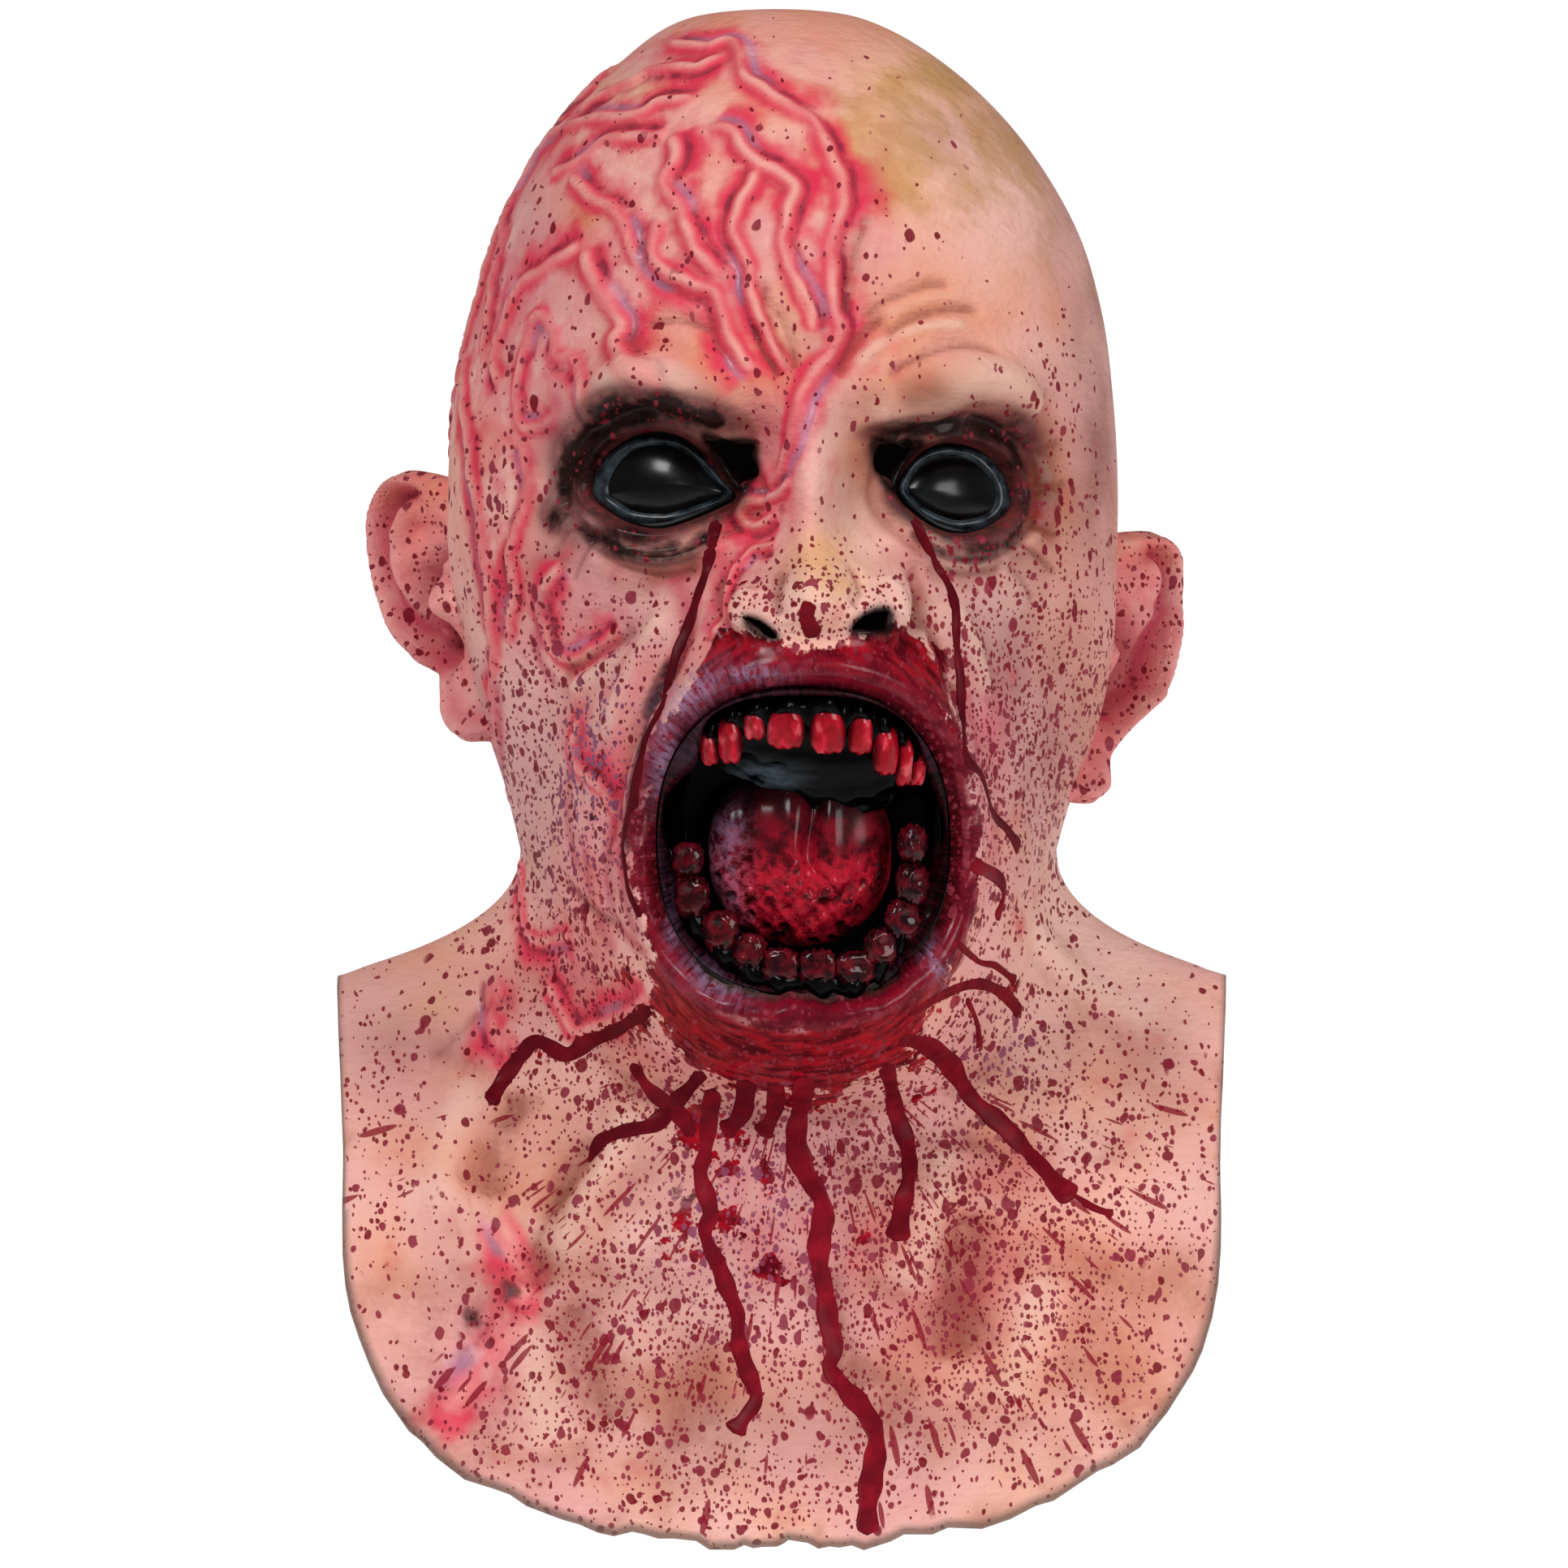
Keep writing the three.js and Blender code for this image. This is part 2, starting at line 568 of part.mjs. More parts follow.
// The mouth's inner wall, from the lips back to the throat
function makeLining() {
  const outside = mouthBar(clearance, farFront, liningBack);
  const inside = mouthBar(clearance + wall, farFront - wall, liningBack - wall);
  return outside.subtract(inside).intersect(filled);
}

// The whole mask
const mask = new THREE.Group();
mask.add(meshOf('skin', makeSkin(), latex));
mask.add(meshOf('mouth_lining', makeLining(), wetLining));
mask.add(meshOf('upper_gum', makeGum(arches.upper, upperTeeth), gumFlesh));
mask.add(meshOf('lower_gum', makeGum(arches.lower, lowerTeeth), gumFlesh));
upperTeeth.forEach((tooth, n) => {
  mask.add(meshOf(`upper_tooth_${n + 1}`, makeTooth(arches.upper, tooth, 0), bloodyTooth));
});
lowerTeeth.forEach((tooth, n) => {
  mask.add(meshOf(`lower_tooth_${n + 1}`, makeTooth(arches.lower, tooth, 0), bloodyTooth));
});
mask.add(meshOf('tongue', makeTongue(), tongueFlesh));
for (const eye of eyes) mask.add(meshOf(eye.name, makeEye(eye), blackGloss));

export default mask;
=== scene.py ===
# A latex over-the-head mask of an undead face, held up in the shape that it has on a head.
# Lengths are in millimetres until a mesh is finished, and X, Y and Z are those of the frame.
import bmesh
import bpy
import numpy as np
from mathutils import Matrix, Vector
from mathutils.bvhtree import BVHTree
from mathutils.kdtree import KDTree


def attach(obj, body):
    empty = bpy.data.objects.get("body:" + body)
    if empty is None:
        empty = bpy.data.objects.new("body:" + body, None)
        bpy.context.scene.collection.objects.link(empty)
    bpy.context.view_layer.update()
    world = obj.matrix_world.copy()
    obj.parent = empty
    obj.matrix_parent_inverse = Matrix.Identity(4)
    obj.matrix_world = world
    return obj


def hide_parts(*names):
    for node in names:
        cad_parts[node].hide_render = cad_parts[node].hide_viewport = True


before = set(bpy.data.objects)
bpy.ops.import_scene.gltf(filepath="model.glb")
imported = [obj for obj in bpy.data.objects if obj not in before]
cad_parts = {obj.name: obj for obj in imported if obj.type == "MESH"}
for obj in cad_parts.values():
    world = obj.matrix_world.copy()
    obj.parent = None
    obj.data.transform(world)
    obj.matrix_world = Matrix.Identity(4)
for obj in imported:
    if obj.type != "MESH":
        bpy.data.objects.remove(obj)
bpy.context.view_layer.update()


# ---------------------------------------------------------------- Studio
# A catalogue shot: the mask is seen from straight ahead and three metres away, in a pale round
# cove, under two broad soft lights. The part of the cove behind the mask, as the front view sees
# it, shines white by itself, and the rest is a plain grey.
MM = 0.001
EYE_POINT = np.array([0.72, -3000.0, -226.5])
SIGHT_SCALE = 0.24  # millimetres across for one step of the front view, in the plane of the ears
SIGHT_STEPS = 1932
SIGHT_MIDDLE = SIGHT_STEPS / 2


def paint(code):
    """A colour written as six hex digits, as the shader wants it."""
    parts = [int(code[n:n + 2], 16) / 255 for n in (0, 2, 4)]
    return [p / 12.92 if p <= 0.04045 else ((p + 0.055) / 1.055) ** 2.4 for p in parts] + [1.0]


class Wire:
    """A value on its way through a material. Arithmetic on it adds Math nodes."""

    def __init__(self, socket):
        self.socket = socket

    def maths(self, operation, *values):
        node = self.socket.id_data.nodes.new("ShaderNodeMath")
        node.operation = operation
        for socket, value in zip(node.inputs, values):
            if isinstance(value, Wire):
                self.socket.id_data.links.new(value.socket, socket)
            else:
                socket.default_value = value
        return Wire(node.outputs[0])

    def __add__(self, other):
        return self.maths("ADD", self, other)

    def __sub__(self, other):
        return self.maths("SUBTRACT", self, other)

    def __mul__(self, other):
        return self.maths("MULTIPLY", self, other)

    def __truediv__(self, other):
        return self.maths("DIVIDE", self, other)

    def __pow__(self, other):
        return self.maths("POWER", self, other)

    def __rsub__(self, other):
        return self.maths("SUBTRACT", other, self)

    __radd__ = __add__
    __rmul__ = __mul__

    def least(self, other):
        return self.maths("MINIMUM", self, other)

    def most(self, other):
        return self.maths("MAXIMUM", self, other)


class Finish:
    """A material under construction."""

    def __init__(self, name, rough=0.5, specular=0.5, coat=0.0, coat_rough=0.03):
        self.paints = []
        self.material = bpy.data.materials.new(name)
        self.material.use_nodes = True
        self.tree = self.material.node_tree
        self.tree.nodes.clear()
        self.shader = self.node("ShaderNodeBsdfPrincipled", {}, {
            "Roughness": rough, "Specular IOR Level": specular,
            "Coat Weight": coat, "Coat Roughness": coat_rough})
        self.node("ShaderNodeOutputMaterial", {}, {"Surface": self.wire(self.shader)})

    def node(self, kind, settings, values):
        """Any node: its type, its settings, then the values or wires of its sockets."""
        node = self.tree.nodes.new(kind)
        for key, value in settings.items():
            setattr(node, key, value)
        self.feed(node, values)
        return node

    def feed(self, node, values):
        sockets = {s.identifier: s for s in node.inputs}
        for key, value in values.items():
            socket = sockets.get(key) or node.inputs[key]
            if isinstance(value, Wire):
                self.tree.links.new(value.socket, socket)
            else:
                socket.default_value = value

    def wire(self, node, output=0):
        return Wire(node.outputs[output])

    def place(self):
        return self.wire(self.node("ShaderNodeTexCoord", {}, {}), "Object")

    def axes(self, vector):
        split = self.node("ShaderNodeSeparateXYZ", {}, {"Vector": vector})
        return [self.wire(split, axis) for axis in "XYZ"]

    def vector(self, x, y, z):
        return self.wire(self.node("ShaderNodeCombineXYZ", {}, {"X": x, "Y": y, "Z": z}))

    def stretch(self, vector, scale):
        node = self.node("ShaderNodeVectorMath", {"operation": "MULTIPLY"}, {0: vector, 1: scale})
        return self.wire(node)

    def noise(self, vector, grain, detail=3.0, rough=0.5, warp=0.0):
        """Soft noise whose blobs are about grain millimetres wide."""
        values = {"Vector": vector, "Scale": 1 / (grain * MM), "Detail": detail}
        values |= {"Roughness": rough, "Distortion": warp}
        return self.wire(self.node("ShaderNodeTexNoise", {}, values), "Fac")

    def ease(self, value, low, high, top=1.0):
        """Nothing below low, all above high, and smooth between them."""
        values = {"Value": value, "From Min": low, "From Max": high, "To Min": 0.0, "To Max": top}
        settings = {"interpolation_type": "SMOOTHSTEP"}
        return self.wire(self.node("ShaderNodeMapRange", settings, values))

    def mix(self, share, under, over):
        values = {"Factor_Float": share, "A_Color": under, "B_Color": over}
        settings = {"data_type": "RGBA", "clamp_factor": True}
        return self.wire(self.node("ShaderNodeMix", settings, values), 2)

    def between(self, share, low, high):
        """A plain value that runs from low to high."""
        return self.mix(share, [low] * 3 + [1], [high] * 3 + [1])

    def painted(self, name):
        """How strongly the surface was painted there. Three paints share a layer of the mesh."""
        if name not in self.paints:
            self.paints.append(name)
        layer, axis = divmod(self.paints.index(name), 3)
        node = self.node("ShaderNodeAttribute", {"attribute_name": f"paints_{layer}"}, {})
        return self.axes(self.wire(node, "Vector"))[axis]

    def bump(self, height, distance, strength=1.0, under=None):
        values = {"Height": height, "Distance": distance * MM, "Strength": strength}
        if under is not None:
            values["Normal"] = under
        return self.wire(self.node("ShaderNodeBump", {}, values))


def sheet(columns, rows):
    """A flat grid of quads, one unit on a side, from 0 to 1 both ways."""
    form = bmesh.new()
    bmesh.ops.create_grid(form, x_segments=columns, y_segments=rows, size=0.5)
    bmesh.ops.translate(form, verts=form.verts, vec=(0.5, 0.5, 0))
    return form


def places_of(form):
    return np.array([v.co for v in form.verts])


def move(form, places):
    for vertex, place in zip(form.verts, places):
        vertex.co = place


def face_out(form, towards=None):
    """Merges doubles and turns the faces outwards, or to the given side on an open form."""
    bmesh.ops.remove_doubles(form, verts=form.verts, dist=0.01)
    bmesh.ops.recalc_face_normals(form, faces=form.faces)
    middle = sum((v.co for v in form.verts), Vector()) / len(form.verts)
    outward = sum(
        f.normal.dot(towards if towards else f.calc_center_median() - middle) * f.calc_area()
        for f in form.faces
    )
    if outward < 0:
        bmesh.ops.reverse_faces(form, faces=form.faces)
    form.verts.index_update()


def piece(name, form, finishes, towards=None, sharp=False):
    """Turns a form in millimetres into a finished object in metres."""
    face_out(form, towards)
    bmesh.ops.scale(form, verts=form.verts, vec=(MM, MM, MM))
    mesh = bpy.data.meshes.new(name)
    form.to_mesh(mesh)
    form.free()
    if not sharp:
        mesh.shade_smooth()
    for finish in finishes:
        mesh.materials.append(finish.material)
    made = bpy.data.objects.new(name, mesh)
    bpy.context.collection.objects.link(made)
    return made


SENSOR = 36  # millimetres
camera = bpy.data.objects.new("camera", bpy.data.cameras.new("camera"))
camera.data.sensor_width = SENSOR
camera.data.lens = SENSOR * -EYE_POINT[1] / (SIGHT_SCALE * SIGHT_STEPS)
camera.location = Vector(EYE_POINT * MM)
camera.rotation_euler = (np.pi / 2, 0, 0)
bpy.context.collection.objects.link(camera)
bpy.context.scene.camera = camera

sweep_white = Finish("sweep_white", rough=0.9, specular=0.0)
grain = sweep_white.noise(sweep_white.place(), 300, detail=0)
sweep_colour = sweep_white.mix(grain, paint("fbfbfb"), paint("f4f4f4"))
cove_x, cove_y, cove_z = sweep_white.axes(sweep_white.place())
backing = sweep_white.ease(cove_y, -0.7, -0.12)
backing = backing * sweep_white.ease(0.0 - cove_x.maths("ABSOLUTE", cove_x), -1.3, -0.8)
backing = backing * sweep_white.ease(0.0 - cove_z, -1.0, -0.5)
sweep_white.feed(sweep_white.shader, {
    "Base Color": sweep_white.mix(backing, paint("7a7a7a"), paint("000000")),
    "Emission Color": sweep_white.mix(backing, paint("626262"), sweep_colour),
    "Emission Strength": 1.15})
# The cove's profile is turned about the upright: flat floor, a quarter round and a wall
COVE_PROFILE, FLOOR_REACH, BEND_RADIUS, FLOOR_LEVEL = 7200, 4200, 600, -449
cove_form = sheet(72, 40)
round_turn, run = places_of(cove_form)[:, :2].T * [[2 * np.pi], [COVE_PROFILE]]
bend = np.clip((run - FLOOR_REACH) / BEND_RADIUS, 0, np.pi / 2)
past = np.maximum(run - FLOOR_REACH - BEND_RADIUS * np.pi / 2, 0)
reach = np.minimum(run, FLOOR_REACH) + BEND_RADIUS * np.sin(bend)
level = FLOOR_LEVEL + BEND_RADIUS * (1 - np.cos(bend)) + past
move(cove_form, np.stack([reach * np.sin(round_turn), reach * np.cos(round_turn), level], 1))
sweep = piece("sweep", cove_form, [sweep_white], Vector((0, 0, 1)))

world = bpy.data.worlds.new("studio")
world.use_nodes = True
backdrop = world.node_tree.nodes["Background"].inputs
backdrop["Color"].default_value = (1, 1, 1, 1)
backdrop["Strength"].default_value = 0.15
bpy.context.scene.world = world
bpy.context.scene.view_settings.view_transform = "Standard"

# Place, aim, width and watts of each light
for name, place, aim, width, watts in (
    ("key", (-0.75, -1.35, 1.05), (0, 0, -0.2), 0.6, 20.5),
    ("fill", (1.2, -1.3, 0.35), (0, 0, -0.2), 0.8, 15),
    ("sweep_wash", (0, 2.2, 1.9), (0, 4.2, -0.2), 2.2, 70),
):
    light = bpy.data.lights.new(name, "AREA")
    light.size = width
    light.energy = watts
    lamp = bpy.data.objects.new(name, light)
    lamp.location = place
    lamp.rotation_euler = (Vector(aim) - Vector(place)).to_track_quat("-Z", "Y").to_euler()
    bpy.context.collection.objects.link(lamp)


# ---------------------------------------------------------------- Latex skin
# One thin casting of latex from a mould: bald head, face, neck and a bib over the shoulders.
# It is slush-cast 2.4 mm thick, trimmed at the bib and airbrushed by hand, then spattered.
WALL = 2.4
HALF_WIDTH, HEAD_FRONT, HEAD_BACK = 99, 104, 114
JAW_DROP, BIB_WIDTH, BIB_DROP, BIB_HANG = 316, 263, 446, 0.62
CROWDING = 0.58

# Meridian from the crown to the neck: level at the sides and at the front, half width, reach to
# the front and to the back, and sideways shift
HEAD_ROWS = [
    (0, 0, 0, 0, 0, 0),
    (-0.01, -0.01, 0.27, 0.29, 0.29, -0.02),
    (-0.052, -0.052, 0.49, 0.53, 0.53, 0),
    (-0.118, -0.118, 0.697, 0.745, 0.74, 0.01),
    (-0.202, -0.202, 0.855, 0.895, 0.885, 0.02),
    (-0.285, -0.285, 0.937, 0.97, 0.965, 0.02),
    (-0.369, -0.369, 0.984, 1, 1, 0.007),
    (-0.446, -0.446, 1, 0.975, 0.985, 0.004),
    (-0.522, -0.522, 0.995, 0.96, 0.935, 0.005),
    (-0.598, -0.6, 0.965, 0.935, 0.86, 0.025),
    (-0.668, -0.7, 0.915, 0.87, 0.775, 0.03),
    (-0.727, -0.83, 0.85, 0.76, 0.7, 0.025),
    (-0.785, -0.985, 0.8, 0.62, 0.65, 0.02),
]
NECK_ROW = len(HEAD_ROWS) - 1

# The bib's cut edge from the chest round to the back: across, forward and level
BIB_EDGE = [
    (0, 0.93, -1), (0.26, 0.92, -0.996), (0.58, 0.87, -0.973), (0.8, 0.79, -0.93),
    (0.945, 0.66, -0.855), (0.972, 0.42, -0.745), (1, -0.02, -0.641), (0.985, -0.4, -0.68),
    (0.93, -0.66, -0.745), (0.78, -0.82, -0.81), (0.55, -0.93, -0.86), (0.28, -0.98, -0.885),
    (0, -1, -0.89),
]

# Modelled bumps and hollows of the front: place across, level, spread across and up, and push
BUMPS = [
    (-0.39, -0.362, 0.27, 0.03, 0.075), (0.55, -0.357, 0.25, 0.03, 0.075),
    (0.06, -0.385, 0.14, 0.034, 0.06), (-0.33, -0.441, 0.27, 0.06, -0.095),
    (0.51, -0.446, 0.24, 0.056, -0.095), (-0.125, -0.42, 0.09, 0.028, -0.06),
    (0.31, -0.42, 0.09, 0.028, -0.06), (0.08, -0.46, 0.095, 0.07, 0.16),
    (0.1, -0.548, 0.15, 0.04, 0.25), (-0.08, -0.568, 0.1, 0.032, 0.1),
    (0.285, -0.566, 0.1, 0.032, 0.1), (-0.52, -0.53, 0.26, 0.055, 0.06),
    (0.64, -0.53, 0.24, 0.055, 0.06), (-0.66, -0.69, 0.2, 0.09, -0.05),
    (0.76, -0.69, 0.2, 0.09, -0.05), (-0.62, -1.13, 0.5, 0.035, 0.05),
    (0.66, -1.11, 0.5, 0.035, 0.05), (-0.28, -1.29, 0.22, 0.09, -0.05),
    (0.3, -1.27, 0.24, 0.09, -0.05),
]

MOUTH_X, MOUTH_Z, MOUTH_WIDTH, MOUTH_HEIGHT, MOUTH_CURVE = 6.2, -243, 84, 87, 2.4
MUZZLE_REACH, MUZZLE_SPREAD, MUZZLE_TOP, MUZZLE_FOOT = 34, 24, 0.7, 1.24
CHIN_HANG, CHIN_JUT = 0.16, 0.6

# Openings, as points of the front view
EYE_LEFT = [
    (733, 604), (747, 566), (772, 545), (804, 537), (839, 544), (868, 567), (889, 592), (903, 610),
    (878, 625), (839, 640), (809, 646), (774, 640), (748, 625),
]
EYE_RIGHT = [
    (1109, 600), (1122, 574), (1142, 558), (1172, 550), (1207, 557), (1231, 578), (1243, 607),
    (1238, 629), (1216, 646), (1187, 652), (1157, 646), (1131, 630), (1114, 614),
]
PEEPHOLE_LEFT = [
    (868, 539), (888, 543), (926, 545), (930, 562), (931, 582), (914, 603), (906, 598), (890, 573),
]
PEEPHOLE_RIGHT = [
    (1079, 543), (1107, 548), (1134, 545), (1119, 563), (1107, 582), (1101, 603), (1087, 589),
    (1080, 569),
]
NOSTRIL_LEFT = [(919, 761), (938, 767), (957, 786), (943, 786), (926, 775)]
NOSTRIL_RIGHT = [(1051, 777), (1062, 761), (1079, 752), (1096, 753), (1095, 776), (1072, 779)]


def along(table, at):
    """The table's columns between its rows, on smooth curves through them."""
    table = np.asarray(table, float)
    row = np.clip(np.floor(at).astype(int), 0, len(table) - 2)
    t = (at - row)[:, None]
    before, start, stop, after = [table[np.clip(row + n, 0, len(table) - 1)] for n in (-1, 0, 1, 2)]
    leave, arrive = (stop - before) / 2, (after - start) / 2
    bend, twist = 3 * (stop - start) - 2 * leave - arrive, 2 * (start - stop) + leave + arrive
    return start + t * leave + t * t * bend + t ** 3 * twist


def ease(value, low, high):
    t = np.clip((value - low) / (high - low), 0, 1)
    return t * t * (3 - 2 * t)


def head_point(at, angle):
    level, level_front, half, front, back, shift = along(HEAD_ROWS, at).T
    forward = np.cos(angle)
    facing = np.maximum(forward, 0) ** 2
    reach = np.where(forward > 0, HEAD_FRONT * front, HEAD_BACK * back)
    x = HALF_WIDTH * (half * np.sin(angle) + shift)
    z = WALL + JAW_DROP * (level + (level_front - level) * facing)
    return np.stack([x, -reach * forward, z], 1)


def bib_point(share, angle):
    neck = head_point(np.full(len(angle), float(NECK_ROW)), angle)
    across, forward, level = along(BIB_EDGE, np.abs(angle) / np.pi * (len(BIB_EDGE) - 1)).T
    x = np.sign(angle) * BIB_WIDTH * across / 2
    edge = np.stack([x, -HEAD_FRONT * forward, WALL + BIB_DROP * level], 1)
    turn = neck.copy()
    turn[:, 2] += (edge[:, 2] - neck[:, 2]) * BIB_HANG
    s = share[:, None]
    return (1 - s) ** 2 * neck + 2 * s * (1 - s) * turn + s * s * edge


def mouth_share(x, z, margin):
    across = np.abs(x - MOUTH_X) / (MOUTH_WIDTH / 2 + margin)
    up = np.abs(z - MOUTH_Z) / (MOUTH_HEIGHT / 2 + margin)
    return (across ** MOUTH_CURVE + up ** MOUTH_CURVE) ** (1 / MOUTH_CURVE)


def skin_point(at, angle):
    """The casting's outer face before its fine modelling."""
    bib = bib_point(np.clip(at - NECK_ROW, 0, 1), angle)
    base = np.where((at <= NECK_ROW)[:, None], head_point(np.minimum(at, NECK_ROW), angle), bib)
    place = base.copy()
    facing = np.where(base[:, 1] < 0, ease(-base[:, 1], 0, HEAD_FRONT / 2), 0)
    for x, level, wide, tall, push in BUMPS:
        across = (base[:, 0] / HALF_WIDTH - x) / wide
        up = ((base[:, 2] - WALL) / JAW_DROP - level) / tall
        place[:, 1] -= HEAD_FRONT * push * facing * np.exp(-across ** 2 - up ** 2)
    inside = 1 - ease(mouth_share(place[:, 0], place[:, 2], MUZZLE_SPREAD), MUZZLE_TOP, MUZZLE_FOOT)
    inside = np.where(base[:, 1] < 0, inside, 0)
    below = 1 - ease(place[:, 2], MOUTH_Z - MOUTH_HEIGHT, MOUTH_Z)
    place[:, 1] -= MUZZLE_REACH * inside * (1 + CHIN_JUT * below)
    place[:, 2] -= CHIN_HANG * MUZZLE_REACH * inside * below
    return place


def sighted(steps, y):
    """Points of the front view as places in the plane at depth y."""
    steps = np.asarray(steps, float)
    scale = SIGHT_SCALE * (y - EYE_POINT[1]) / -EYE_POINT[1]
    x = EYE_POINT[0] + (steps[:, 0] - SIGHT_MIDDLE) * scale
    z = EYE_POINT[2] - (steps[:, 1] - SIGHT_MIDDLE) * scale
    return np.stack([x, np.full(len(x), float(y)), z], 1)


def seen_at(places):
    """Where places show in the front view."""
    scale = SIGHT_SCALE * (places[:, 1] - EYE_POINT[1]) / -EYE_POINT[1]
    return np.stack([
        SIGHT_MIDDLE + (places[:, 0] - EYE_POINT[0]) / scale,
        SIGHT_MIDDLE - (places[:, 2] - EYE_POINT[2]) / scale,
    ], 1)


def rounded(points, closed=False, cuts=6):
    """More points, on a smooth curve through the given ones."""
    points = np.asarray(points, float)
    if closed:
        points = np.concatenate([points[-2:], points, points[:3]])
        at = np.arange(2, len(points) - 3, 1 / cuts)
    else:
        at = np.linspace(0, len(points) - 1, (len(points) - 1) * cuts + 1)
    return along(points, at)


def to_edge(spots, outline):
    """Distance of flat spots from a closed outline, less than nothing inside it."""
    nearest = np.full(len(spots), 1e9)
    inside = np.zeros(len(spots), bool)
    for a, b in zip(outline, np.roll(outline, -1, 0)):
        edge, arm = b - a, spots - a
        share = np.clip(arm @ edge / max(edge @ edge, 1e-9), 0, 1)
        nearest = np.minimum(nearest, np.linalg.norm(arm - share[:, None] * edge, axis=1))
        rising = (a[1] > spots[:, 1]) != (b[1] > spots[:, 1])
        crossing = a[0] + (spots[:, 1] - a[1]) * edge[0] / (edge[1] if edge[1] else 1e-9)
        inside ^= rising & (spots[:, 0] < crossing)
    return np.where(inside, -nearest, nearest)


def cut_along(form, outside):
    """Takes a flat form's inside away, with the cut's edge drawn through moved vertices."""
    places = places_of(form)
    side = outside(places)
    edges = np.array([[v.index for v in edge.verts] for edge in form.edges])
    edges = edges[side[edges[:, 0]] * side[edges[:, 1]] < 0]
    low, high = places[edges[:, 0]].copy(), places[edges[:, 1]].copy()
    side_low, side_high = side[edges[:, 0]].copy(), side[edges[:, 1]].copy()
    for _ in range(6):
        share = np.clip(side_low / (side_low - side_high), 0.02, 0.98)[:, None]
        spot = low + share * (high - low)
        there = outside(spot)
        same = (there * side_low > 0)
        low[same], side_low[same] = spot[same], there[same]
        high[~same], side_high[~same] = spot[~same], there[~same]
    start, stop = places[edges[:, 0]], places[edges[:, 1]]
    share = np.linalg.norm(spot - start, axis=1) / np.linalg.norm(stop - start, axis=1)
    nearer = np.where(share < 0.5, edges[:, 0], edges[:, 1])
    order = np.argsort(-np.minimum(share, 1 - share))
    places[nearer[order]] = spot[order]
    side[nearer] = 0
    move(form, places)
    form.verts.ensure_lookup_table()
    for face in list(form.faces):
        signs = [side[v.index] for v in face.verts]
        if min(signs) < 0 < max(signs):
            on_cut = [v for v, sign in zip(face.verts, signs) if sign == 0]
            if len(on_cut) == 2 and not form.edges.get(on_cut):
                bmesh.utils.face_split(face, *on_cut)
    gone = [face for face in form.faces if sum(side[v.index] for v in face.verts) < 0]
    bmesh.ops.delete(form, geom=gone, context="FACES")


# Rows of the grid lie evenly along the front of the casting
row_marks = np.linspace(0, NECK_ROW + 1, 600)
steps = np.zeros(len(row_marks) - 1)
for angle in (0.0, 0.6, -0.6, 1.4):
    path = skin_point(row_marks, np.full(len(row_marks), angle))
    steps += np.linalg.norm(np.diff(path, axis=0), axis=1)
row_lengths = np.concatenate([[0], np.cumsum(steps)]) / steps.sum()


def flat_to_skin(places):
    turn = np.pi * (2 * places[:, 0] - 1)
    at = np.interp(places[:, 1], row_lengths, row_marks)
    return skin_point(at, turn - CROWDING * np.sin(turn))


openings = [rounded(outline, closed=True) for outline in (
    EYE_LEFT, EYE_RIGHT, PEEPHOLE_LEFT, PEEPHOLE_RIGHT, NOSTRIL_LEFT, NOSTRIL_RIGHT,
)]


def outside_openings(flat):
    places = flat_to_skin(flat)
    seen = seen_at(places)
    nearest = np.full(len(flat), 300.0)
    for outline in openings:
        low, high = outline.min(0) - 30, outline.max(0) + 30
        near = np.all((seen > low) & (seen < high), axis=1) & (places[:, 1] < 0)
        nearest[near] = np.minimum(nearest[near], to_edge(seen[near], outline) * SIGHT_SCALE)
    front = places[:, 1] < -40
    mouth = np.where(front, (mouth_share(places[:, 0], places[:, 2], 0) - 1) * MOUTH_WIDTH / 2, 300)
    return np.minimum(nearest, mouth)


skin_form = sheet(128, 184)
for near in (
    lambda p: (p[:, 1] < 20) & (p[:, 2] > -352),
    lambda p: ((p[:, 1] < -45) & (p[:, 2] > -196) & (p[:, 2] < -112)
               & (p[:, 0] > -62) & (p[:, 0] < 76)),
):
    skin_form.verts.index_update()
    chosen = near(flat_to_skin(places_of(skin_form)))
    finer = [e for e in skin_form.edges if all(chosen[v.index] for v in e.verts)]
    bmesh.ops.subdivide_edges(skin_form, edges=finer, cuts=1, use_grid_fill=True)
skin_form.verts.index_update()
cut_along(skin_form, outside_openings)
move(skin_form, flat_to_skin(places_of(skin_form)))
face_out(skin_form)
smooth_skin = BVHTree.FromBMesh(skin_form)


def cast(steps, tree):
    """Points of the front view thrown onto a surface. A point that misses moves inwards."""
    hits = []
    for step in np.asarray(steps, float):
        for pull in np.linspace(1, 0.9, 21):
            aim = sighted([(SIGHT_MIDDLE + (step[0] - SIGHT_MIDDLE) * pull, step[1])], 0)[0]
            hit = tree.ray_cast(Vector(EYE_POINT), Vector(aim - EYE_POINT).normalized())[0]
            if hit:
                hits.append(hit)
                break
    return np.array(hits)


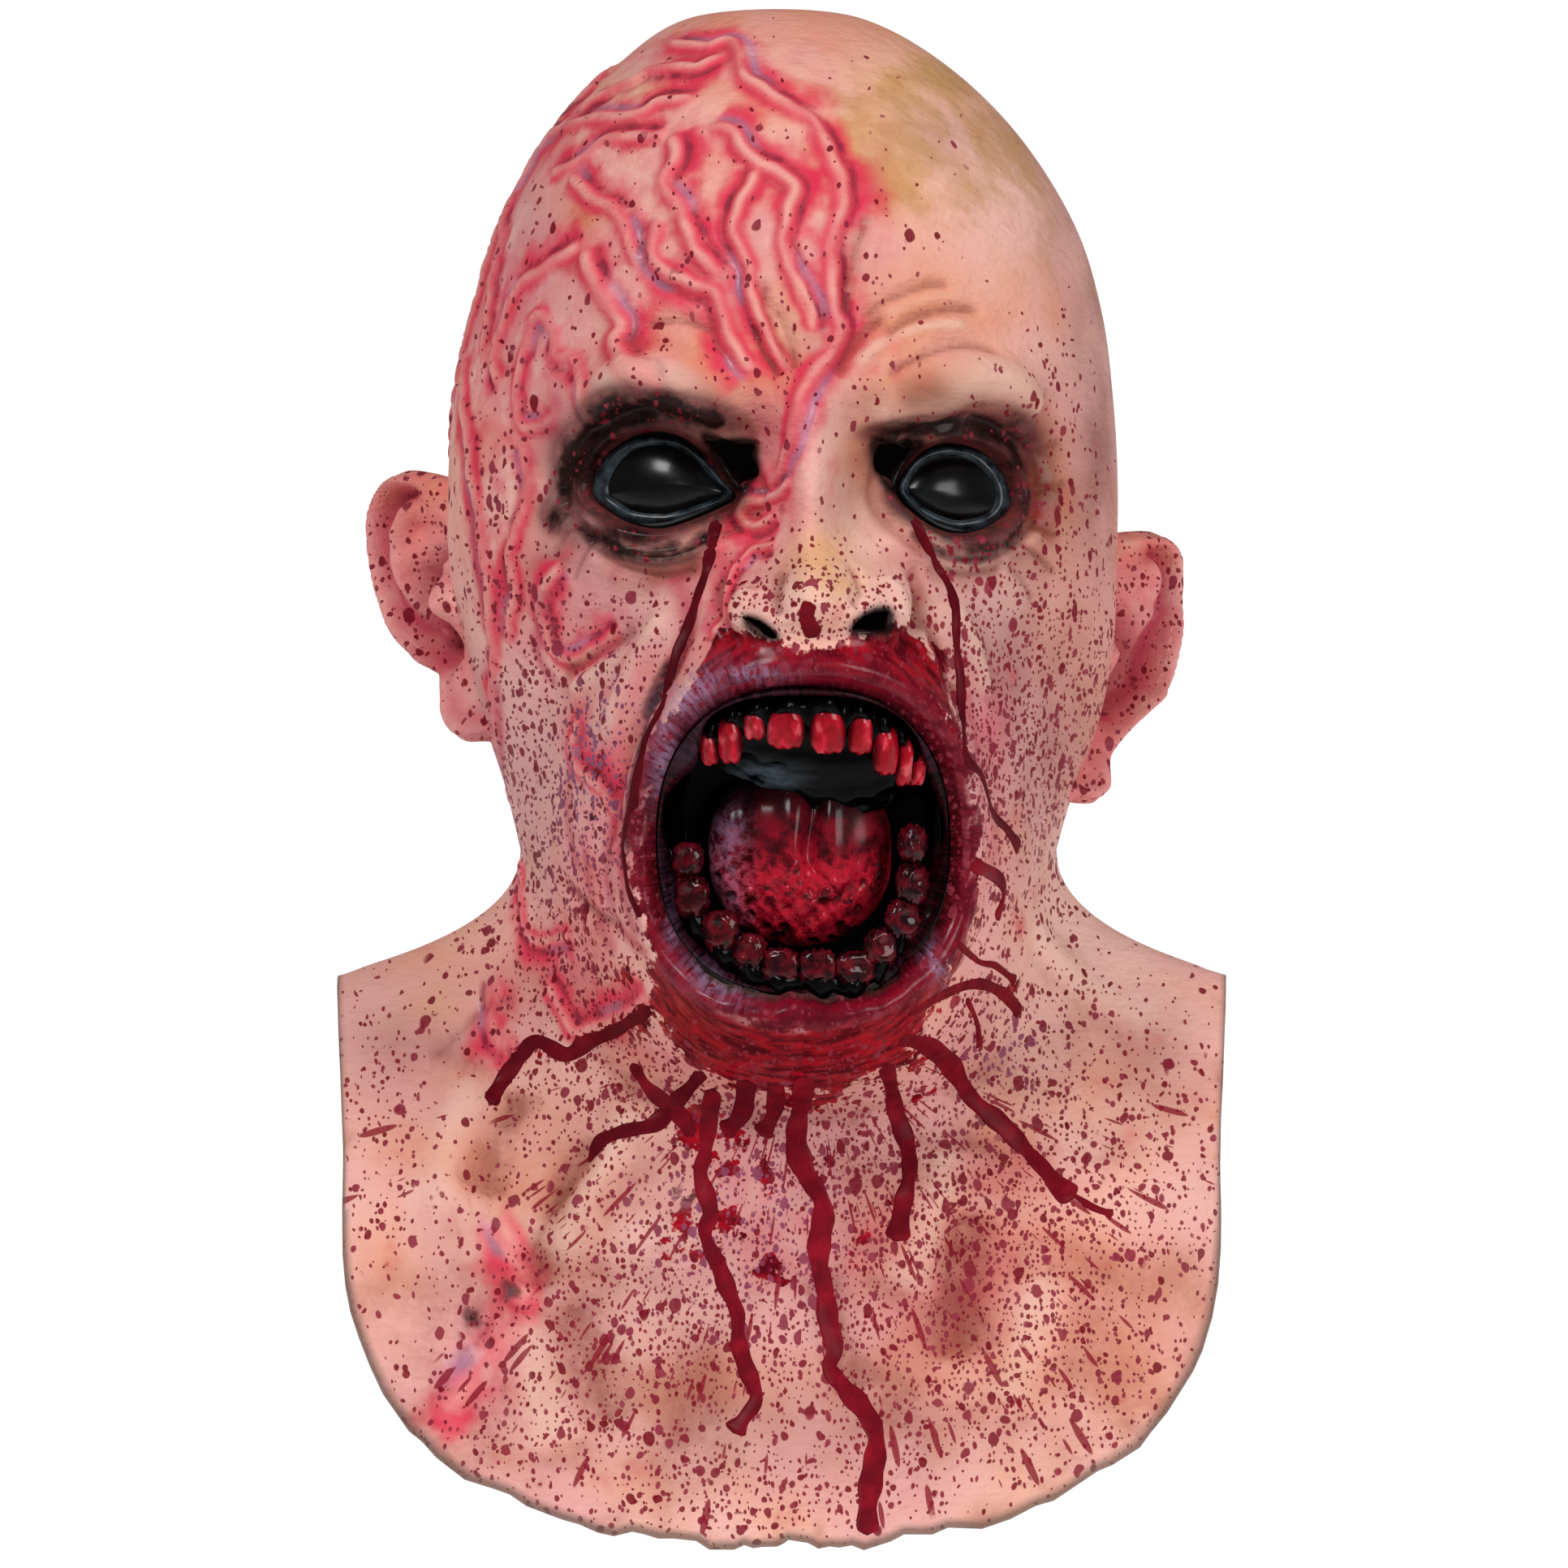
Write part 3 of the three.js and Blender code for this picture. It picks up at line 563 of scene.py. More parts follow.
def reach_to(places, path):
    """Distance of places from a path, the side that they lie on, and how far along they are."""
    found = np.full(len(places), 1e9)
    side = np.zeros(len(places))
    share = np.zeros(len(places))
    low, high = path.min(0) - 30, path.max(0) + 30
    near = np.where(np.all((places > low) & (places < high), axis=1))[0]
    local = places[near]
    lengths = np.concatenate([[0], np.cumsum(np.linalg.norm(np.diff(path, axis=0), axis=1))])
    for n, (a, b) in enumerate(zip(path[:-1], path[1:])):
        edge = b - a
        part = np.clip((local - a) @ edge / max(edge @ edge, 1e-9), 0, 1)
        gap = local - a - part[:, None] * edge
        distance = np.linalg.norm(gap, axis=1)
        better = distance < found[near]
        at = near[better]
        found[at] = distance[better]
        side[at] = np.sign(edge[0] * gap[better, 2] - edge[2] * gap[better, 0])
        share[at] = (lengths[n] + part[better] * (lengths[n + 1] - lengths[n])) / lengths[-1]
    return found, side, share


# Raised veins: half width, height and points of the front view
VEINS = [
    (2.3, 1.7, [(814, 52), (869, 58), (905, 55), (918, 93), (957, 123), (995, 143), (1017, 181),
                (1036, 219), (1034, 263), (1023, 307), (1025, 357), (1034, 406), (1012, 450),
                (984, 494), (976, 543), (955, 590), (940, 625)]),
    (2.6, 1.8, [(748, 74), (705, 110), (650, 165), (617, 230), (600, 285), (587, 340), (573, 406),
                (573, 472), (578, 554), (592, 640), (600, 700), (608, 800), (612, 900), (625, 960)]),
    (2.2, 1.5, [(905, 60), (864, 80), (800, 90), (750, 115), (700, 150), (650, 200), (625, 260),
                (612, 330), (600, 400), (596, 470)]),
    (2.4, 1.6, [(864, 126), (814, 126), (776, 145), (721, 148), (677, 170), (644, 219), (622, 263)]),
    (2.2, 1.8, [(869, 154), (902, 165), (924, 192), (957, 214), (979, 230), (973, 258), (962, 296),
                (973, 329), (995, 373), (1006, 417)]),
    (2.3, 1.7, [(825, 165), (787, 170), (743, 176), (710, 203), (677, 219)]),
    (2.3, 1.7, [(825, 165), (832, 197), (818, 225), (836, 258), (853, 296), (869, 324), (897, 350)]),
    (2.2, 1.7, [(816, 265), (805, 305), (810, 328), (850, 347), (880, 362), (895, 400), (912, 440),
                (935, 466)]),
    (2.0, 1.4, [(705, 214), (727, 241), (759, 263), (773, 285), (787, 340)]),
    (2.3, 1.7, [(721, 303), (683, 324), (644, 351), (622, 395), (611, 439), (617, 483)]),
    (2.5, 1.9, [(721, 303), (728, 340), (748, 370), (766, 400), (756, 420), (779, 456), (805, 475),
                (828, 490)]),
    (2.0, 1.5, [(652, 406), (666, 389), (683, 404), (688, 439), (706, 444), (722, 470), (740, 500)]),
    (2.0, 1.5, [(652, 406), (641, 461), (636, 500), (648, 527), (672, 520), (690, 508)]),
    (1.9, 1.5, [(935, 205), (913, 250), (904, 290), (924, 329), (929, 373), (957, 428), (976, 462)]),
    (1.8, 1.2, [(968, 300), (975, 330), (990, 375), (1003, 415)]),
    (2.0, 1.4, [(640, 540), (652, 590), (640, 640), (628, 690), (634, 740), (622, 800)]),
    (2.0, 1.4, [(690, 690), (668, 740), (676, 790), (700, 812), (735, 800), (768, 772)]),
    (1.7, 1.3, [(975, 590), (950, 615), (925, 620), (915, 640), (935, 650), (962, 630)]),
    (1.7, 1.3, [(960, 672), (925, 680), (905, 705), (893, 735), (878, 790)]),
    (1.8, 1.2, [(641, 1060), (647, 1132), (658, 1160), (708, 1150)]),
    (2.2, 1.5, [(669, 1210), (691, 1238), (714, 1272), (769, 1252), (803, 1225)]),
    (2.2, 1.5, [(612, 1205), (606, 1240), (618, 1285), (645, 1275)]),
    (1.9, 1.4, [(715, 880), (705, 930), (735, 970), (760, 1020), (750, 1060)]),
    (2.6, 1.5, [(619, 1499), (628, 1540), (647, 1583), (645, 1622), (608, 1661), (580, 1700),
                (558, 1745), (545, 1777)]),
]

# Veins of the sides and the back: half width, height and points as turn from the front in
# degrees and height, for nothing of them shows from the front
FAR_VEINS = [
    (2.4, 1.6, [(-70, -18), (-100, -40), (-125, -75), (-135, -120), (-128, -165)]),
    (2.2, 1.5, [(-95, -60), (-88, -100), (-100, -140), (-92, -180)]),
    (2.2, 1.5, [(-125, -75), (-150, -100), (-160, -150), (-152, -200)]),
    (2.0, 1.4, [(-130, -140), (-112, -175), (-118, -215), (-104, -250)]),
    (2.2, 1.5, [(-95, -225), (-112, -262), (-104, -285)]),
    (2.2, 1.5, [(160, -60), (176, -100), (165, -150), (178, -195), (168, -240)]),
    (2.0, 1.4, [(165, -150), (140, -180), (146, -220), (128, -260)]),
    (2.0, 1.4, [(120, -95), (132, -140), (120, -180)]),
    (2.0, 1.4, [(-150, -200), (-168, -235), (-158, -280), (-172, -330)]),
]

# Modelled folds: half width, height, less than nothing for a groove, and points
FOLD_RELIEF = 1.45
FOLDS = [
    (6.5, 3.8, [(930, 500), (885, 500), (840, 478), (800, 462), (755, 478), (712, 520)]),
    (6.5, 4.0, [(1045, 500), (1095, 505), (1150, 492), (1200, 470), (1245, 478), (1280, 520)]),
    (3.0, 2.0, [(800, 490), (850, 512), (890, 528), (930, 532)]),
    (3.0, 2.0, [(1075, 530), (1105, 535), (1145, 527), (1200, 512)]),
    (1.9, -1.5, [(938, 340), (945, 380), (962, 430), (972, 460)]),
    (1.7, -1.2, [(925, 395), (940, 430), (962, 466)]),
    (1.8, -1.2, [(952, 372), (972, 415), (980, 458)]),
    (2.4, -1.6, [(1075, 255), (1060, 300), (1046, 350), (1040, 400)]),
    (2.6, -1.6, [(1035, 470), (1045, 440), (1070, 405), (1100, 385)]),
    (2.2, -1.3, [(1080, 425), (1120, 395), (1170, 380), (1215, 382)]),
    (2.0, -1.1, [(1060, 395), (1090, 372), (1140, 352), (1180, 350)]),
    (2.2, 1.2, [(1048, 455), (1090, 420), (1140, 402), (1200, 402)]),
    (1.8, -1.1, [(1085, 470), (1130, 440), (1190, 425), (1240, 440)]),
    (1.6, -0.9, [(790, 400), (840, 395), (885, 410)]),
    (3.4, 1.9, [(742, 655), (775, 680), (815, 688), (860, 675), (888, 650)]),
    (2.4, -1.8, [(730, 672), (775, 700), (825, 708), (870, 692)]),
    (3.0, 1.5, [(1128, 655), (1160, 682), (1205, 690), (1248, 665)]),
    (2.4, -1.5, [(1140, 690), (1185, 708), (1240, 695)]),
    (2.6, -1.6, [(893, 700), (884, 735), (894, 775), (915, 792)]),
    (2.6, -1.8, [(1118, 690), (1133, 730), (1128, 775), (1108, 792)]),
    (4.5, 1.6, [(925, 725), (908, 750), (918, 775)]),
    (4.5, 1.8, [(1088, 710), (1107, 738), (1107, 765)]),
    (2.6, -1.3, [(965, 700), (955, 735), (962, 765)]),
    (2.6, -1.3, [(1052, 695), (1062, 725), (1050, 752)]),
    (4.0, -2.0, [(1140, 745), (1160, 790), (1182, 840), (1200, 900)]),
    (5.0, 1.6, [(1165, 735), (1195, 790), (1215, 860)]),
    (3.6, -2.2, [(862, 745), (838, 790), (812, 840), (780, 900), (760, 980), (762, 1060)]),
    (5.0, 2.0, [(828, 745), (800, 790), (770, 850), (742, 920)]),
    (1.7, -0.9, [(1262, 560), (1290, 552), (1308, 540)]),
    (1.7, -0.9, [(1262, 600), (1295, 600), (1318, 590)]),
    (1.7, -0.9, [(1258, 640), (1290, 655), (1312, 660)]),
    (1.7, -0.9, [(1252, 665), (1285, 690), (1300, 710)]),
    (1.7, -0.9, [(1240, 690), (1265, 720), (1275, 745)]),
    (1.6, -0.9, [(718, 640), (695, 660), (680, 690)]),
    (1.6, -0.9, [(712, 610), (690, 620), (672, 640)]),
    (1.6, -0.9, [(735, 662), (715, 690), (705, 720)]),
    (3.0, -1.4, [(690, 830), (740, 800), (790, 770)]),
    (3.0, 1.5, [(700, 850), (745, 825), (790, 800)]),
    (3.0, -1.6, [(688, 1080), (720, 1120), (765, 1150)]),
    (7.0, 3.0, [(790, 1350), (755, 1420), (705, 1500), (670, 1560)]),
    (5.0, -3.2, [(745, 1395), (695, 1460), (665, 1530), (655, 1600)]),
    (9.0, 3.0, [(600, 1320), (560, 1400), (540, 1500)]),
    (8.0, -2.5, [(640, 1330), (610, 1420), (590, 1480)]),
    (8.0, 3.0, [(650, 1620), (660, 1700), (690, 1790)]),
    (7.0, -3.0, [(700, 1590), (730, 1680), (760, 1760)]),
    (9.0, 3.0, [(1160, 1400), (1150, 1500), (1110, 1600)]),
    (8.0, -3.5, [(1200, 1480), (1180, 1580), (1190, 1680)]),
    (8.0, 2.5, [(1290, 1560), (1270, 1650), (1240, 1740)]),
    (6.0, -2.0, [(1010, 1560), (1030, 1640), (1060, 1720)]),
    (3.0, -1.5, [(640, 1225), (600, 1240), (560, 1270), (530, 1310)]),
    (4.0, 1.6, [(1270, 1140), (1300, 1180), (1360, 1230), (1430, 1260)]),
]

skin_places = places_of(skin_form)
skin_normals = np.array([v.normal for v in skin_form.verts])
amount = len(skin_places)
lift = np.zeros(amount)
vein_halo, vein_crest, vein_groove = np.zeros(amount), np.zeros(amount), np.zeros(amount)
vein_gloss_highlight = np.zeros(amount)


def wandering(points, swing, phase):
    """A path of the front view that winds a little to both sides."""
    path = rounded(points, cuts=6)
    heading = np.gradient(path, axis=0)
    heading /= np.linalg.norm(heading, axis=1)[:, None]
    run = np.concatenate([[0], np.cumsum(np.linalg.norm(np.diff(path, axis=0), axis=1))])
    winding = np.sin(run / 14 + phase) + 0.6 * np.sin(run / 6.1 + 2 * phase)
    return path + np.stack([-heading[:, 1], heading[:, 0]], 1) * (swing * winding)[:, None]


vein_paths = []
for half, high, points in VEINS:
    winding_path = wandering(points, 1.5, half * 9 + points[0][0])
    vein_paths.append((half, high, rounded(cast(winding_path, smooth_skin), cuts=2)))
for half, high, points in FAR_VEINS:
    spots = []
    for degrees, level in rounded(points, cuts=6):
        aim = Vector((np.sin(np.radians(degrees)), -np.cos(np.radians(degrees)), 0))
        spots.append(smooth_skin.ray_cast(Vector((0, 0, level)) + aim * 300, -aim)[0])
    vein_paths.append((half, high, np.array([s for s in spots if s])))
for n, (half, high, path) in enumerate(vein_paths):
    gap, side, share = reach_to(skin_places, path)
    taper = ease(share, 0, 0.06) * ease(1 - share, 0, 0.1)
    worm = 1 + 0.22 * np.sin(share * 23 + n) * np.sin(share * 11 + 2 * n)
    ridge = np.exp(-(gap / (half * worm)) ** 2) * taper
    flank = np.exp(-((gap - half * 1.75) / (half * 0.55)) ** 2) * taper * (side * (-1) ** n > 0)
    lift = np.where(np.abs(high * ridge) > np.abs(lift), high * ridge, lift) - 0.55 * flank
    # Each vein's crest is paler, partly its own paint and partly painted highlight; its groove side takes
    # dark paint and painted shade, and its flank a pale purple painted highlight
    vein_crest = np.maximum(vein_crest, np.exp(-(gap / (half * 0.7)) ** 2) * taper)
    vein_groove = np.maximum(vein_groove, flank * (0.45 + 0.55 * np.sin(share * 17 + 3 * n) ** 2))
    spread = half * np.where(side * (-1) ** n > 0, 4.6, 2.3)
    vein_halo = np.maximum(vein_halo, np.exp(-((gap / spread) ** 2)) * (0.3 + 0.7 * taper))
    vein_gloss_highlight = np.maximum(vein_gloss_highlight, flank * ease(np.sin(share * 9 + 1.7 * n), 0.3, 0.9))
# Grooves get a brown wash that also stands for their shade, and raised folds a paler painted highlight
crease_wash_and_shade, ridge_highlight = np.zeros(amount), np.zeros(amount)
for half, high, points in FOLDS:
    path = rounded(cast(rounded(points, cuts=3), smooth_skin), cuts=2)
    gap, _, share = reach_to(skin_places, path)
    taper = ease(share, 0, 0.15) * ease(1 - share, 0, 0.15)
    lift += FOLD_RELIEF * high * np.exp(-(gap / half) ** 2) * taper
    if high < 0:
        crease_wash_and_shade = np.maximum(crease_wash_and_shade, 0.75 * np.exp(-(gap / half * 1.5) ** 2) * taper)
    else:
        ridge_highlight = np.maximum(ridge_highlight, np.exp(-(gap / half * 1.4) ** 2) * taper)

# Rolled lids round the eyes, and lips rolled into the mouth
skin_seen = seen_at(skin_places)
in_front = skin_places[:, 1] < -30
eye_gap = np.full(amount, 300.0)
for outline in openings[:2]:
    near = in_front & (np.abs(skin_seen - outline.mean(0)).max(1) < 200)
    eye_gap[near] = np.minimum(eye_gap[near], to_edge(skin_seen[near], outline) * SIGHT_SCALE)
lid = 2.4 * np.exp(-((eye_gap - 4.2) / 2.1) ** 2) - 1.5 * np.exp(-((eye_gap - 8.6) / 1.8) ** 2)
lid += 0.8 * np.exp(-((eye_gap - 12) / 2.0) ** 2) - 2.2 * np.exp(-(eye_gap / 1.6) ** 2)
lift += lid
lip_gap = np.where(in_front, (mouth_share(skin_places[:, 0], skin_places[:, 2], 0) - 1) * 42, 300)
lift += 2.6 * np.exp(-((lip_gap - 6) / 4.0) ** 2) - 1.2 * np.exp(-((lip_gap - 15) / 3.5) ** 2)
skin_places = skin_places + skin_normals * lift[:, None]
skin_places[:, 1] += 5.5 * np.exp(-(np.maximum(lip_gap, 0) / 2.6) ** 2) * in_front
hem = KDTree(amount)
for vertex in skin_form.verts:
    if vertex.is_boundary and vertex.co.z < -280:
        hem.insert(vertex.co, vertex.index)
hem.balance()
hem_gap = np.array([hem.find(v.co)[2] if v.co.z < -260 else 300.0 for v in skin_form.verts])
hem_turn = np.arctan2(skin_places[:, 0], -skin_places[:, 1])
waves = 1.1 * np.sin(hem_turn * 17 + 1) + 0.7 * np.sin(hem_turn * 41) + 0.4 * np.sin(hem_turn * 97)
skin_places[:, 2] += waves * np.exp(-(hem_gap / 7) ** 2)
move(skin_form, skin_places)
skin_form.normal_update()
skin_tree = BVHTree.FromBMesh(skin_form)

# How far each place lies under or over its softened surroundings, near by and further off
skin_edges = np.array([[v.index for v in edge.verts] for edge in skin_form.edges])
skin_normals = np.array([v.normal for v in skin_form.verts])
near_count = np.bincount(skin_edges.ravel(), minlength=amount)[:, None]
softened, depths = skin_places.copy(), []
for rounds in (14, 90):
    for _ in range(rounds):
        beside = np.stack([
            np.bincount(skin_edges[:, 0], softened[skin_edges[:, 1], axis], amount)
            + np.bincount(skin_edges[:, 1], softened[skin_edges[:, 0], axis], amount)
            for axis in range(3)], 1)
        softened = (softened + beside / near_count) / 2
    depths.append(((softened - skin_places) * skin_normals).sum(1))

# Airbrushed places of each paint: middle in the front view, spread across and down, turn in
# degrees and strength
AIRBRUSH = {
    "tan": [
        (870, 440, 110, 45, 15, 0.9), (1170, 470, 120, 50, -10, 0.8), (1080, 560, 50, 60, 0, 0.7),
        (1000, 690, 60, 70, 0, 0.12), (1290, 600, 45, 120, 0, 0.6), (1060, 380, 60, 120, 20, 0.5),
        (920, 40, 130, 40, 0, 0.7), (1040, 420, 45, 90, 0, 0.5), (500, 590, 60, 25, 0, 0.7),
        (930, 130, 80, 40, 10, 0.5), (590, 1440, 70, 45, 10, 0.9), (560, 1330, 60, 30, 0, 0.5),
        (1180, 1500, 90, 70, 0, 0.7), (1300, 1560, 70, 60, 0, 0.8), (1220, 1690, 110, 60, 0, 0.8),
        (850, 1700, 110, 40, -10, 0.6), (1240, 1400, 60, 40, 0, 0.5), (470, 1560, 60, 90, 0, 0.5),
        (1130, 1010, 30, 60, 0, 0.3), (860, 250, 50, 60, 0, 0.4), (1370, 1620, 120, 160, 0, 0.6),
        (640, 1440, 110, 90, 0, 0.7), (1130, 380, 180, 90, 0, 0.7), (1000, 30, 260, 40, 0, 0.7),
        (1340, 1330, 160, 60, 0, 0.4), (560, 1180, 110, 60, 20, 0.5), (1320, 760, 60, 160, 0, 0.5),
        (900, 430, 120, 60, 0, 0.6), (1265, 610, 40, 90, 0, 0.7), (1150, 470, 110, 30, -6, 0.7),
        (1075, 470, 30, 60, 0, 0.5),
    ],
    "yellow": [
        (1010, 690, 32, 34, 0, 1.0), (1040, 715, 26, 20, 0, 0.7), (1060, 170, 40, 80, 30, 0.8),
        (965, 420, 26, 60, 0, 0.55), (780, 110, 60, 22, -15, 0.6), (725, 265, 26, 26, 0, 0.5),
        (1100, 210, 60, 40, 30, 0.8), (1130, 95, 120, 60, 15, 0.5), (560, 1240, 60, 30, 0, 0.5),
    ],
    "olive": [
        (1110, 140, 90, 60, 25, 0.85), (1210, 230, 80, 70, 35, 0.85), (1150, 95, 70, 35, 20, 0.9),
        (1290, 300, 50, 70, 0, 0.5), (720, 265, 30, 30, 0, 0.45), (905, 300, 26, 80, 0, 0.45),
        (1090, 180, 110, 80, 30, 1.0), (1250, 190, 90, 90, 35, 0.9), (1200, 280, 60, 30, 0, 0.7),
    ],
    # "umber": soft brown over the chest's hollows, brown paint that also stands for their shade
    "umber": [
        (700, 1560, 45, 110, 20, 0.9), (740, 1660, 90, 70, 0, 0.75), (690, 1420, 26, 70, 25, 0.8),
        (1160, 1560, 70, 90, 0, 0.7), (1190, 1660, 60, 50, 0, 0.6), (960, 1750, 60, 40, 0, 0.35),
        (490, 1400, 40, 50, 0, 0.3), (1320, 1770, 60, 30, 0, 0.4), (690, 1530, 70, 130, 25, 0.9),
        (780, 1680, 120, 90, 0, 0.75), (1170, 1590, 110, 110, 0, 0.8), (620, 1610, 60, 60, 0, 0.5),
        (1240, 1720, 110, 60, 0, 0.6), (930, 1700, 130, 60, 0, 0.4),
    ],
    # "brown": dark brown under the brows, round the eyes and in the forehead's grooves: brown paint that
    # also stands for their shade
    "brown": [
        (1240, 520, 70, 35, 15, 0.9), (1100, 545, 40, 30, 0, 0.9), (1180, 500, 90, 24, -8, 0.8),
        (1270, 590, 26, 60, 0, 0.8), (1190, 690, 90, 26, 0, 0.85), (820, 700, 110, 26, 0, 0.8),
        (850, 500, 90, 24, 12, 0.7), (1080, 610, 26, 50, 0, 0.5), (900, 350, 26, 60, -15, 0.3),
        (1045, 340, 20, 90, 12, 0.45), (1010, 440, 50, 60, 0, 0.35), (1280, 600, 50, 90, 0, 0.5),
        (1060, 590, 36, 60, 0, 0.5), (690, 1200, 50, 30, 0, 0.3), (1165, 505, 110, 24, -4, 1.0),
        (1275, 560, 34, 60, 0, 0.9), (800, 484, 100, 20, 0, 0.75), (1075, 500, 40, 26, 0, 0.7),
        (690, 690, 50, 24, -20, 0.55), (800, 700, 90, 20, 0, 0.6),
    ],
    # "shade": greyish brown at the sides of the head and face, under the jaw and over the chest: painted
    # shade
    "shade": [
        (1240, 1250, 50, 60, 0, 0.45), (1320, 280, 40, 90, 0, 0.4), (840, 1450, 60, 60, 0, 0.35),
        (560, 1540, 60, 60, 0, 0.3), (1345, 420, 22, 150, 0, 0.35), (820, 900, 40, 80, 0, 0.2),
        (1350, 500, 34, 240, 0, 0.9), (1300, 900, 60, 200, 10, 0.6), (590, 900, 36, 200, 0, 0.5),
        (700, 1250, 120, 60, 10, 0.5), (1250, 1300, 90, 60, 0, 0.6), (480, 1300, 90, 60, 0, 0.4),
        (1430, 1330, 70, 90, 0, 0.5), (780, 1480, 120, 60, 0, 0.4), (1240, 830, 90, 200, 0, 0.45),
        (1020, 640, 30, 60, 0, 0.2), (940, 1480, 190, 170, 0, 0.6), (800, 1640, 190, 140, 0, 0.55),
        (1000, 1760, 240, 70, 0, 0.55), (1180, 1560, 90, 130, 0, 0.4),
    ],
    "dark": [
        (718, 565, 36, 48, 0, 1.0), (755, 508, 45, 30, -25, 1.0), (830, 505, 75, 22, 12, 1.0),
        (700, 620, 22, 34, 0, 0.7), (770, 660, 60, 18, 0, 0.65), (1255, 560, 22, 40, 0, 0.5),
        (1180, 528, 75, 18, -5, 0.75), (1095, 560, 26, 24, 0, 0.8), (905, 560, 30, 20, 0, 0.6),
        (1195, 680, 70, 14, 0, 0.35), (742, 530, 40, 30, -40, 1.0), (790, 508, 60, 20, -8, 1.0),
        (690, 632, 26, 26, 0, 0.75), (1130, 528, 60, 14, -5, 0.95), (1250, 540, 34, 30, 30, 0.7),
        (1105, 590, 18, 40, 0, 0.6),
    ],
    "pink": [
        (800, 260, 190, 190, 0, 0.45), (620, 600, 50, 260, 0, 0.6), (700, 780, 110, 90, 0, 0.45),
        (950, 620, 45, 60, 0, 0.9), (900, 690, 45, 60, 0, 0.8), (620, 1250, 36, 50, 0, 0.9),
        (700, 1180, 70, 60, 0, 0.7), (600, 1690, 40, 60, 25, 0.9), (765, 880, 50, 120, 10, 0.6),
        (800, 270, 45, 60, 0, 0.7), (700, 200, 60, 60, 0, 0.5), (1000, 330, 45, 120, 0, 0.6),
        (850, 180, 70, 40, 0, 0.7), (1205, 1030, 30, 100, 0, 0.5), (735, 1060, 40, 80, 0, 0.6),
        (1125, 690, 26, 30, 0, 0.3), (760, 960, 36, 130, 0, 0.8), (720, 900, 30, 60, 0, 0.7),
        (860, 75, 90, 24, 0, 0.9), (1010, 260, 26, 150, 0, 0.8), (860, 330, 90, 60, 0, 0.6),
        (690, 450, 50, 90, 0, 0.6), (880, 1290, 120, 40, 0, 0.5), (1215, 900, 26, 60, 0, 0.6),
        (940, 560, 36, 90, 10, 0.7), (880, 740, 40, 80, 20, 0.6), (590, 430, 36, 160, 0, 0.6),
        (640, 380, 50, 120, 0, 0.6), (1070, 250, 30, 90, 0, 0.6), (1245, 1450, 90, 60, 0, 0.35),
        (1180, 1560, 120, 110, 0, 0.4), (950, 1500, 110, 110, 0, 0.35),
    ],
    "mauve": [
        (1260, 830, 90, 160, 0, 0.6), (650, 950, 70, 160, 0, 0.5), (740, 640, 60, 60, 0, 0.3),
        (700, 700, 60, 50, 0, 0.4), (900, 1560, 120, 120, 0, 0.5), (640, 300, 60, 120, 0, 0.4),
        (520, 1280, 90, 60, 0, 0.4), (1400, 1290, 80, 60, 0, 0.4), (780, 780, 90, 80, 0, 0.6),
        (1010, 1560, 90, 130, 0, 0.5), (1200, 800, 70, 140, 0, 0.5), (1160, 160, 50, 40, 30, 0.6),
        (728, 925, 30, 70, 15, 0.7),
    ],
    "spray": [
        (1270, 850, 130, 190, 0, 0.9), (1200, 1000, 110, 220, 0, 0.9),
        (680, 950, 110, 230, 0, 0.85), (1000, 1450, 240, 140, 0, 1.0),
        (1000, 1640, 290, 190, 0, 0.75), (1230, 1300, 130, 130, 0, 1.0),
        (780, 1350, 150, 110, 0, 1.0), (780, 800, 120, 90, 0, 0.55), (1020, 790, 130, 40, 0, 0.9),
        (1290, 560, 60, 140, 0, 0.4), (850, 500, 300, 380, 0, 0.16),
        (1000, 1500, 520, 420, 0, 0.35), (900, 1830, 260, 80, 0, 0.7), (610, 650, 60, 200, 0, 0.4),
        (1220, 900, 120, 260, 0, 1.0), (720, 1000, 100, 200, 0, 1.0),
        (1000, 1500, 330, 220, 0, 1.0), (1200, 1700, 260, 130, 0, 0.85),
        (1000, 760, 160, 70, 0, 1.0), (1400, 1440, 130, 160, 0, 0.6), (470, 1380, 70, 160, 0, 0.5),
        (700, 1760, 200, 90, 0, 0.6), (1150, 1500, 330, 260, 0, 1.0),
        (860, 1620, 260, 160, 0, 0.9), (1290, 900, 70, 240, 0, 1.0), (700, 1180, 120, 120, 0, 0.9),
    ],
    "splash": [
        (868, 1385, 46, 50, 30, 0.75), (830, 1440, 26, 50, 0, 0.6), (1110, 1300, 60, 24, 10, 0.7),
        (1190, 1110, 26, 60, 0, 0.7), (780, 1262, 60, 22, -15, 0.65), (990, 1352, 60, 22, 0, 0.75),
        (996, 758, 9, 26, -8, 0.9), (1075, 778, 24, 18, 0, 0.9), (925, 790, 26, 18, 0, 0.9),
        (1160, 820, 22, 22, 0, 0.7), (1235, 1105, 30, 20, 0, 0.5), (1180, 1230, 46, 22, -15, 0.6),
        (740, 1090, 26, 40, 0, 0.4), (916, 718, 10, 12, 0, 0.7), (1130, 1350, 40, 26, 20, 0.55),
        (1015, 1480, 34, 26, 0, 0.5), (700, 1300, 60, 16, -10, 0.5), (1230, 1400, 46, 14, 35, 0.5),
        (890, 1560, 22, 50, 0, 0.45), (1250, 1215, 30, 16, 0, 0.45), (735, 1000, 30, 110, 5, 0.4),
        (715, 1120, 40, 60, 0, 0.4), (850, 1500, 40, 70, 0, 0.5), (925, 1450, 60, 40, 0, 0.45),
        (1080, 1460, 60, 60, 0, 0.4), (1215, 980, 24, 90, 0, 0.4), (890, 1420, 36, 60, 20, 0.6),
